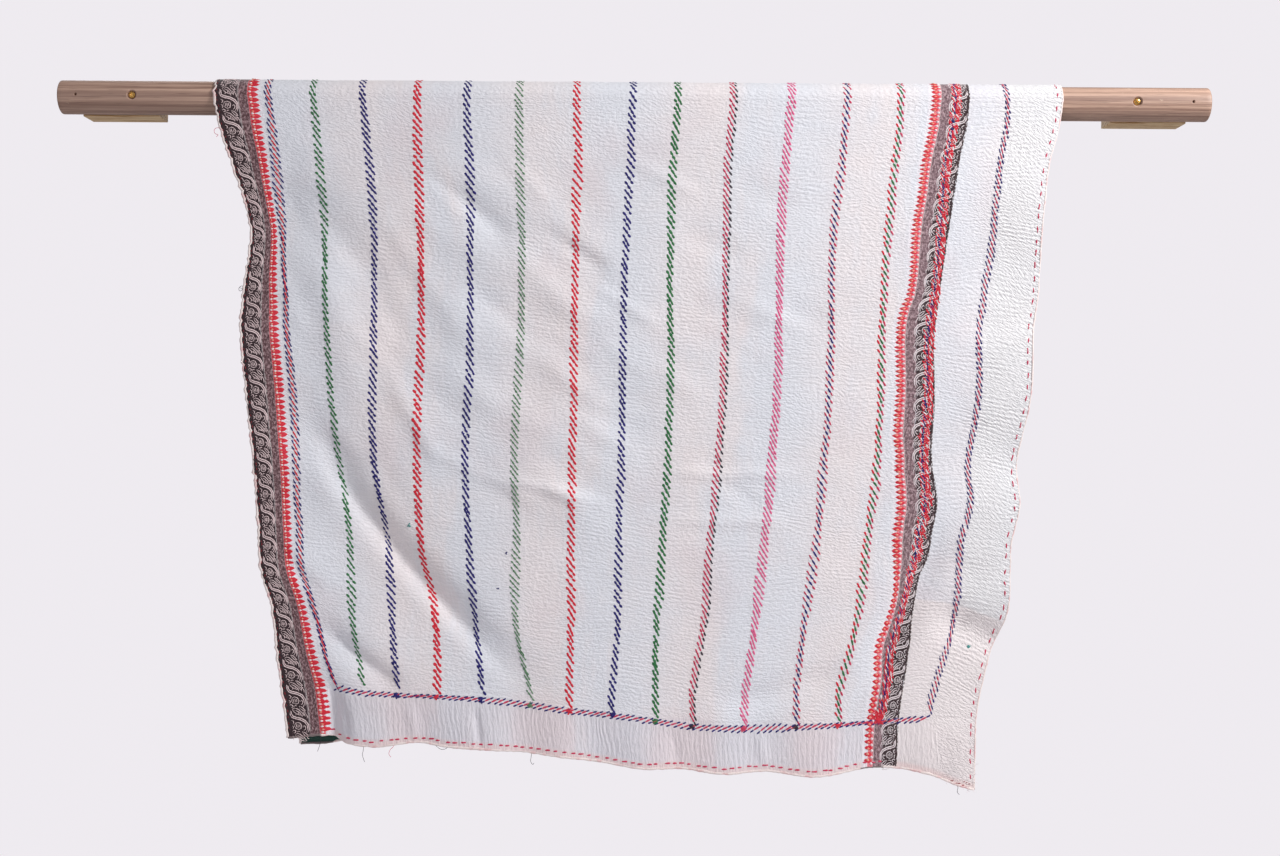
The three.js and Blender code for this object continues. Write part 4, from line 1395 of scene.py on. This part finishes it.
# %% A loose thread
def loose_thread(across, down, ways, radius=0.34, sides=5, count=14):
    """A free end from a place on the cloth. ways are points on it, counted from there in millimetres: to the
    right, out of the face and up.
    """
    start = hang(across, down)
    ways = np.concatenate([[(0, 0, 0)], ways]).astype(float) * (1, -1, 1)
    table = np.column_stack([np.arange(len(ways)), start + ways])
    at = np.linspace(0, len(ways) - 1, count)
    thread = np.stack([read(table, column, at) for column in (1, 2, 3)], -1)
    along = unit(np.gradient(thread, axis=0))
    side = unit(np.cross(along, (0.2, -1.0, 0.1)))
    other = np.cross(along, side)[:, None]
    turn = np.linspace(0, 2 * np.pi, sides, endpoint=False)[None, :, None]
    return thread[:, None] + radius * (np.cos(turn) * side[:, None] + np.sin(turn) * other)


def loose_threads(name, ends, finish):
    """Loose ends of one colour as one piece."""
    faces, points, first = [], [], 0
    for end in ends:
        rings = loose_thread(*end)
        count, sides = rings.shape[:2]
        faces += tube_faces(count, sides, first, flip=True)
        points.append(rings.reshape(-1, 3))
        first += count * sides
    piece = make_piece(name, np.concatenate(points), faces, finish)
    add_map(piece, "thread", np.zeros(first), np.zeros(first))


# %% The loose ends
# each starts at a place across and down, and runs through a few points
loose_threads("loose_ends_dark", (
    (0.0005, 285, ((-4, 1, 2), (-8, 2, -2), (-6, 3, -6), (-2, 3, -3), (-7, 4, -1))),
    (0.048, 949, ((1, 1, -8), (-1, 1, -17), (-4, 1, -26))),
    (0.112, 962, ((0, 1, -7), (-1, 2, -15), (2, 2, -25))),
    (0.355, 971, ((0, 1, -7), (-1, 2, -14), (2, 2, -19), (4, 2, -17))),
    (0.972, 1011, ((3, 1, -6), (2, 2, -13), (5, 2, -17))),
    (0.215, 962, ((9, 2, -6), (17, 3, -5), (21, 3, 0))),
), THREAD_FINISHES["black"])
loose_threads("loose_ends_pink", (
    (0.0005, 52, ((-5, 1, 3), (-10, 2, 0), (-9, 3, -6), (-4, 3, -8), (-7, 3, -11))),
    (0.158, 960, ((-3, 2, -5), (-7, 3, -9), (-9, 3, -15), (-6, 3, -20))),
), THREAD_FINISHES["rose"])
loose_threads("loose_ends_cream", tuple(
    (across, down, ((run, 1, -3), (1.8 * run, 1.5, fall), (2.4 * run + 1, 2, 1.5 * fall)))
    for across, down, run, fall in (
        (0.985, 1014, -1.0, -5), (0.990, 1016, 0.5, -6), (0.996, 1018, 1.6, -5), (0.998, 1008, 2.6, -3),
        (0.998, 996, 2.2, -2), (0.960, 1007, -0.8, -4), (0.993, 1018, -2.0, -6), (0.9985, 984, 2.4, 0),
    )
), THREAD_FINISHES["white"])

# %% [markdown]
# ## The rail
#
# The rail is a turned wooden pole with eased ends, open-grained and streaky brown. A screw is sunk through it
# near each end, and beyond that is a small unused hole. A plain cylinder would show neither the holes nor the
# eased ends, so it is a grid wrapped round the axis, pressed in where the holes are. Extra rings of points
# gather round the holes.

# %% Finish: the rail's wood
def rail_finish():
    """Long brown streaks, dark pores and pale scuffs, and rings of growth where the pole was sawn off."""
    finish, tree, shader = new_finish("brown_rail_wood", Roughness=0.5, Coat_Weight=0.12, Coat_Roughness=0.35)
    place = tree.nodes.new("ShaderNodeTexCoord").outputs["Object"]
    along, deep, high = parts(tree, place)
    streaks = clouds(tree, stretched(tree, place, (3.0, 230, 230)), 1, 5, 0.66, 0.4)
    pores = clouds(tree, stretched(tree, place, (22, 900, 900)), 1, 2, 0.6)
    broad = clouds(tree, stretched(tree, place, (1.2, 30, 30)), 1, 3, 0.5, 0.6)
    colour = paint(tree, dye(126, 94, 80), dye(206, 172, 152), streaks.rise(0.30, 0.68))
    colour = paint(tree, colour, dye(160, 130, 114), broad.rise(0.4, 0.65) * 0.35)
    colour = paint(tree, colour, dye(70, 50, 42), pores.rise(0.60, 0.72) * 0.55)
    scuffs = clouds(tree, stretched(tree, place, (34, 70, 70)), 1, 4, 0.7)
    colour = paint(tree, colour, dye(206, 184, 160), scuffs.rise(0.64, 0.72) * 0.6)
    from_axis = deep + RAIL_STANDOFF * MM
    rings = (from_axis * from_axis + high * high).through("SQRT") + (broad - 0.5) * 0.004
    end_grain = paint(tree, dye(150, 118, 94), dye(98, 70, 56), rings.wave(0.0032).rise(0.35, 0.9))
    ends = along.through("ABSOLUTE").rise((RAIL_LENGTH / 2 - 1.5) * MM, (RAIL_LENGTH / 2 - 0.5) * MM)
    # painted shade: the colour is darkened towards the rail's left end and lightened towards its right one,
    # for how the light falls
    colour = shaded(tree, paint(tree, colour, end_grain, ends), along * 0.09 + 1.0)
    join(shader.inputs["Base Color"], colour)
    raise_by(tree, shader, streaks * 0.6 + pores, 0.0004)
    return finish


RAIL_WOOD = rail_finish()

# %% The rail's shape
# how far each hole is from the middle of the rail, its radius and its depth
SCREW_OFFSET, RECESS_RADIUS, RECESS_DEPTH = 747, 7, 4
PILOT_OFFSET, PILOT_RADIUS, PILOT_DEPTH = 830, 1.8, 8
RAIL_SIDES = 112
PLAIN_RINGS = 90             # evenly along the whole rail; the ends and the holes have more of their own


def rail_rings():
    """Places along the rail: close together at the ends and at the holes, wide apart between."""
    half = RAIL_LENGTH / 2
    places = [-half, -half + 0.4, -half + 1.0, -half + RAIL_EASE]
    places += list(np.linspace(-half + 8, half - 8, PLAIN_RINGS))
    for hole, reach, step in (
        (SCREW_OFFSET, RECESS_RADIUS + 2, 0.7), (PILOT_OFFSET, PILOT_RADIUS + 1.2, 0.5),
    ):
        for sign in (-1, 1):
            places += list(sign * hole + np.arange(-reach, reach + step / 2, step))
    places += [half - RAIL_EASE, half - 1.0, half - 0.4, half]
    return np.unique(np.round(places, 2))


def rail_shape():
    """The pole as one closed grid, with its eased ends and its four holes."""
    along = rail_rings()[:, None]
    # the points crowd towards the front, where the holes are
    turn = np.linspace(-np.pi, np.pi, RAIL_SIDES, endpoint=False)
    turn = (turn - 0.55 * np.sin(turn))[None, :]
    ease = np.clip(RAIL_EASE - (RAIL_LENGTH / 2 - np.abs(along)), 0, RAIL_EASE)
    radius = RAIL_RADIUS - (RAIL_EASE - np.sqrt(np.maximum(RAIL_EASE ** 2 - ease ** 2, 0))) + 0 * turn
    for hole, reach, deep in (
        (SCREW_OFFSET, RECESS_RADIUS, RECESS_DEPTH), (PILOT_OFFSET, PILOT_RADIUS, PILOT_DEPTH),
    ):
        away = np.hypot(np.abs(along) - hole, RAIL_RADIUS * np.sin(turn))
        away = np.where(np.cos(turn) > 0, away, np.inf)
        radius = radius - deep * (1 - ramp(away, reach - 0.45, reach + 0.25))
    point = np.stack([along + 0 * turn, -RAIL_STANDOFF - radius * np.cos(turn), radius * np.sin(turn)], -1)
    return make_piece("rail_pole", point, tube_faces(len(point), RAIL_SIDES), RAIL_WOOD)


rail_pole = rail_shape()
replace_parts(rail_pole, "rail")

# %% [markdown]
# ## The blocks
#
# Two blocks of paler softwood, sawn and left plain, hold the rail off the wall. Each has a groove that the
# rail sits in. The profile is drawn once, pushed along the rail's way, and its sawn corners get a small
# bevel.

# %% Finish: the blocks' wood
BLOCK_LENGTH, BLOCK_HEIGHT, BLOCK_DEPTH, BLOCK_OFFSET = 115, 50, 44, 775


def block_finish():
    """Pale softwood with wide, wavy grain, darker where its ends were sawn."""
    finish, tree, shader = new_finish("pale_block_wood", Roughness=0.68)
    place = tree.nodes.new("ShaderNodeTexCoord").outputs["Object"]
    along, deep, high = parts(tree, place)
    waves = clouds(tree, stretched(tree, place, (4, 40, 40)), 1, 4, 0.6, 0.5)
    grain = (high + deep * 0.6 + (waves - 0.5) * 0.03).wave(0.0062)
    fibres = clouds(tree, stretched(tree, place, (16, 700, 700)), 1, 3, 0.6)
    colour = paint(tree, dye(226, 198, 156), dye(190, 150, 104), grain.rise(0.45, 0.95))
    colour = shaded(tree, colour, fibres * 0.5 + 0.75)
    from_middle = along.through("ABSOLUTE")
    near, far = (BLOCK_OFFSET - BLOCK_LENGTH / 2) * MM, (BLOCK_OFFSET + BLOCK_LENGTH / 2) * MM
    end = from_middle.rise(near + 0.0001, near - 0.0001) + from_middle.rise(far - 0.0001, far + 0.0001)
    join(shader.inputs["Base Color"], paint(tree, colour, dye(112, 78, 52), end * (grain * 0.4 + 0.5)))
    raise_by(tree, shader, grain * 0.5 + fibres, 0.0004)
    return finish


BLOCK_WOOD = block_finish()

# %% The blocks
GROOVE_GAP = 0.3             # between the rail and the groove
SAWN_BEVEL = 0.9


def block(name, middle):
    """One block: its profile with the groove, pushed along the rail's way."""
    reach = RAIL_RADIUS + GROOVE_GAP
    edge = math.asin((RAIL_STANDOFF - BLOCK_DEPTH) / reach)
    turns = np.linspace(edge - np.pi / 2, np.pi / 2 - edge, 25)
    groove = [(-RAIL_STANDOFF + reach * math.cos(a), reach * math.sin(a)) for a in turns]
    tall = BLOCK_HEIGHT / 2
    profile = [(0, -tall), (-BLOCK_DEPTH, -tall)] + groove + [(-BLOCK_DEPTH, tall), (0, tall)]
    shape = bmesh.new()
    ring = [shape.verts.new(((middle - BLOCK_LENGTH / 2) * MM, y * MM, z * MM)) for y, z in profile]
    face = shape.faces.new(ring)
    pushed = bmesh.ops.extrude_face_region(shape, geom=[face])
    moved = [item for item in pushed["geom"] if isinstance(item, bmesh.types.BMVert)]
    bmesh.ops.translate(shape, verts=moved, vec=(BLOCK_LENGTH * MM, 0, 0))
    bmesh.ops.recalc_face_normals(shape, faces=shape.faces)
    mesh = bpy.data.meshes.new(name)
    shape.to_mesh(mesh)
    shape.free()
    mesh.materials.append(BLOCK_WOOD)
    piece = bpy.data.objects.new(name, mesh)
    bpy.context.scene.collection.objects.link(piece)
    bevel = piece.modifiers.new("sawn_corners", "BEVEL")
    bevel.width, bevel.segments = SAWN_BEVEL * MM, 2
    bevel.limit_method, bevel.angle_limit = "ANGLE", math.radians(40)
    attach(piece, "root")
    print(name, "sides", len(mesh.polygons))
    return piece


for side, sign in (("left", -1), ("right", 1)):
    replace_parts(block(f"block_{side}_wood", sign * BLOCK_OFFSET), f"block_{side}")

# %% [markdown]
# ## The screws
#
# Each brass screw has a low round head with a cross in it, and lies at the bottom of its sunk hole. The head
# is turned from rings of points, and the cross is pressed into it.

# %% Finish: brass
def brass_finish():
    """Brass, tarnished in clouds."""
    finish, tree, shader = new_finish("brass", Metallic=1.0, Roughness=0.32)
    place = tree.nodes.new("ShaderNodeTexCoord").outputs["Object"]
    tarnish = clouds(tree, place, 420, 4, 0.65)
    colour = paint(tree, dye(222, 180, 104), dye(150, 108, 56), tarnish.rise(0.48, 0.7))
    join(shader.inputs["Base Color"], colour)
    raise_by(tree, shader, tarnish, 0.0002)
    return finish


BRASS = brass_finish()

# %% The screws
HEAD_RADIUS, HEAD_HEIGHT, HEAD_BASE, CROSS_DEPTH = 5.2, 2.6, -81.3, 1.5
SHANK_RADIUS, TIP_LENGTH = 2.2, 5
HEAD_RINGS, SCREW_SIDES = 22, 96


def cross_arm(beside, along):
    """1 inside one arm of the cross, with soft sides."""
    return (1 - ramp(np.abs(beside), 0.35, 0.75)) * (1 - ramp(np.abs(along), 2.3, 2.8))


def screw(name, x):
    """A domed head with its cross, and a shank that tapers to the tip of the plain solid's."""
    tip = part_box(name)[1][1] / MM
    part = np.linspace(0, 1, HEAD_RINGS)[:, None]
    turn = np.linspace(0, 2 * np.pi, SCREW_SIDES, endpoint=False)
    across, up = HEAD_RADIUS * part * np.cos(turn), HEAD_RADIUS * part * np.sin(turn)
    dome = HEAD_HEIGHT * np.sqrt(np.maximum(1 - 0.97 * part ** 2, 0)) + 0 * turn
    dome = dome - CROSS_DEPTH * np.maximum(cross_arm(across, up), cross_arm(up, across))
    head = np.stack([x + across, HEAD_BASE - dome, up], -1)
    shank = np.stack([
        np.stack([x + radius * np.cos(turn), 0 * turn + y, radius * np.sin(turn)], -1)
        for radius, y in (
            (HEAD_RADIUS, HEAD_BASE), (SHANK_RADIUS, HEAD_BASE + 0.2), (SHANK_RADIUS, tip - TIP_LENGTH),
            (1.2, tip - 0.4), (0.3, tip),
        )
    ])
    point = np.concatenate([head, shank])
    faces = tube_faces(len(point), SCREW_SIDES, flip=True, closed=False)
    faces.append(list(range((len(point) - 1) * SCREW_SIDES, len(point) * SCREW_SIDES)))
    piece = make_piece(f"{name}_brass", point, faces, BRASS)
    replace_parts(piece, name)


for side, sign in (("left", -1), ("right", 1)):
    screw(f"screw_{side}", sign * SCREW_OFFSET)

# %% [markdown]
# ## Light, floor and air
#
# The cloth is lit softly from the upper right, so its left side falls a little into shade and each fold
# shows. A weaker light from the left keeps that side from going dull, and one behind shows the back fall. The
# air itself is pale, and dimmer as light than it looks, so that the shade in the folds stays. The floor is
# plain.

# %% The lights
def area_light(name, place, aim, size, power, colour):
    """A square lamp at a place, turned towards a point."""
    light = bpy.data.lights.new(name, "AREA")
    light.size, light.energy, light.color = size, power, colour
    lamp = bpy.data.objects.new(name, light)
    bpy.context.scene.collection.objects.link(lamp)
    lamp.location = place
    lamp.rotation_euler = (Vector(aim) - Vector(place)).to_track_quat("-Z", "Y").to_euler()
    print(name, "light of", power, "watts at", place)


MIDDLE = (0.0, -0.06, -0.45)
area_light("key", (2.3, -1.5, 1.1), MIDDLE, 0.8, 96, (1.0, 0.985, 0.975))
area_light("fill", (-1.8, -2.8, 0.3), MIDDLE, 2.0, 15, (0.98, 0.96, 1.0))
area_light("back", (-0.8, 2.6, 1.0), MIDDLE, 2.0, 40, (1.0, 1.0, 1.0))

# %% The air, which looks brighter than it lights
world = bpy.data.worlds.new("air")
bpy.context.scene.world = world
world.use_nodes = True
air = world.node_tree
seen = air.nodes["Background"]
seen.inputs[0].default_value, seen.inputs[1].default_value = (0.86, 0.83, 0.87, 1), 1.0
lit = air.nodes.new("ShaderNodeBackground")
lit.inputs[0].default_value, lit.inputs[1].default_value = (0.98, 0.95, 1.0, 1), 0.29
blend = air.nodes.new("ShaderNodeMixShader")
air.links.new(air.nodes.new("ShaderNodeLightPath").outputs["Is Camera Ray"], blend.inputs[0])
air.links.new(lit.outputs[0], blend.inputs[1])
air.links.new(seen.outputs[0], blend.inputs[2])
air.links.new(blend.outputs[0], air.nodes["World Output"].inputs[0])

# %% The floor
FLOOR_AT, FLOOR_RADIUS = (0.0, -0.6, -1.35), 1.28
disc = bmesh.new()
bmesh.ops.create_circle(disc, cap_ends=True, radius=FLOOR_RADIUS, segments=128)
floor_mesh = bpy.data.meshes.new("floor")
disc.to_mesh(floor_mesh)
disc.free()
floor = bpy.data.objects.new("floor", floor_mesh)
floor.location = FLOOR_AT
floor_paint, _, floor_shader = new_finish("floor_paint", Roughness=0.8)
floor_shader.inputs["Base Color"].default_value = dye(228, 225, 228)
floor_mesh.materials.append(floor_paint)
bpy.context.scene.collection.objects.link(floor)
bpy.context.scene.view_settings.view_transform = "Standard"

# %% [markdown]
# ## The plain quilt put away
#
# The frame's plain quilt is hidden, as the face and the reverse stand in for it.

# %% Hide the plain quilt
for piece in (quilt_face_front, quilt_face_back, quilt_reverse):
    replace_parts(piece, "quilt")
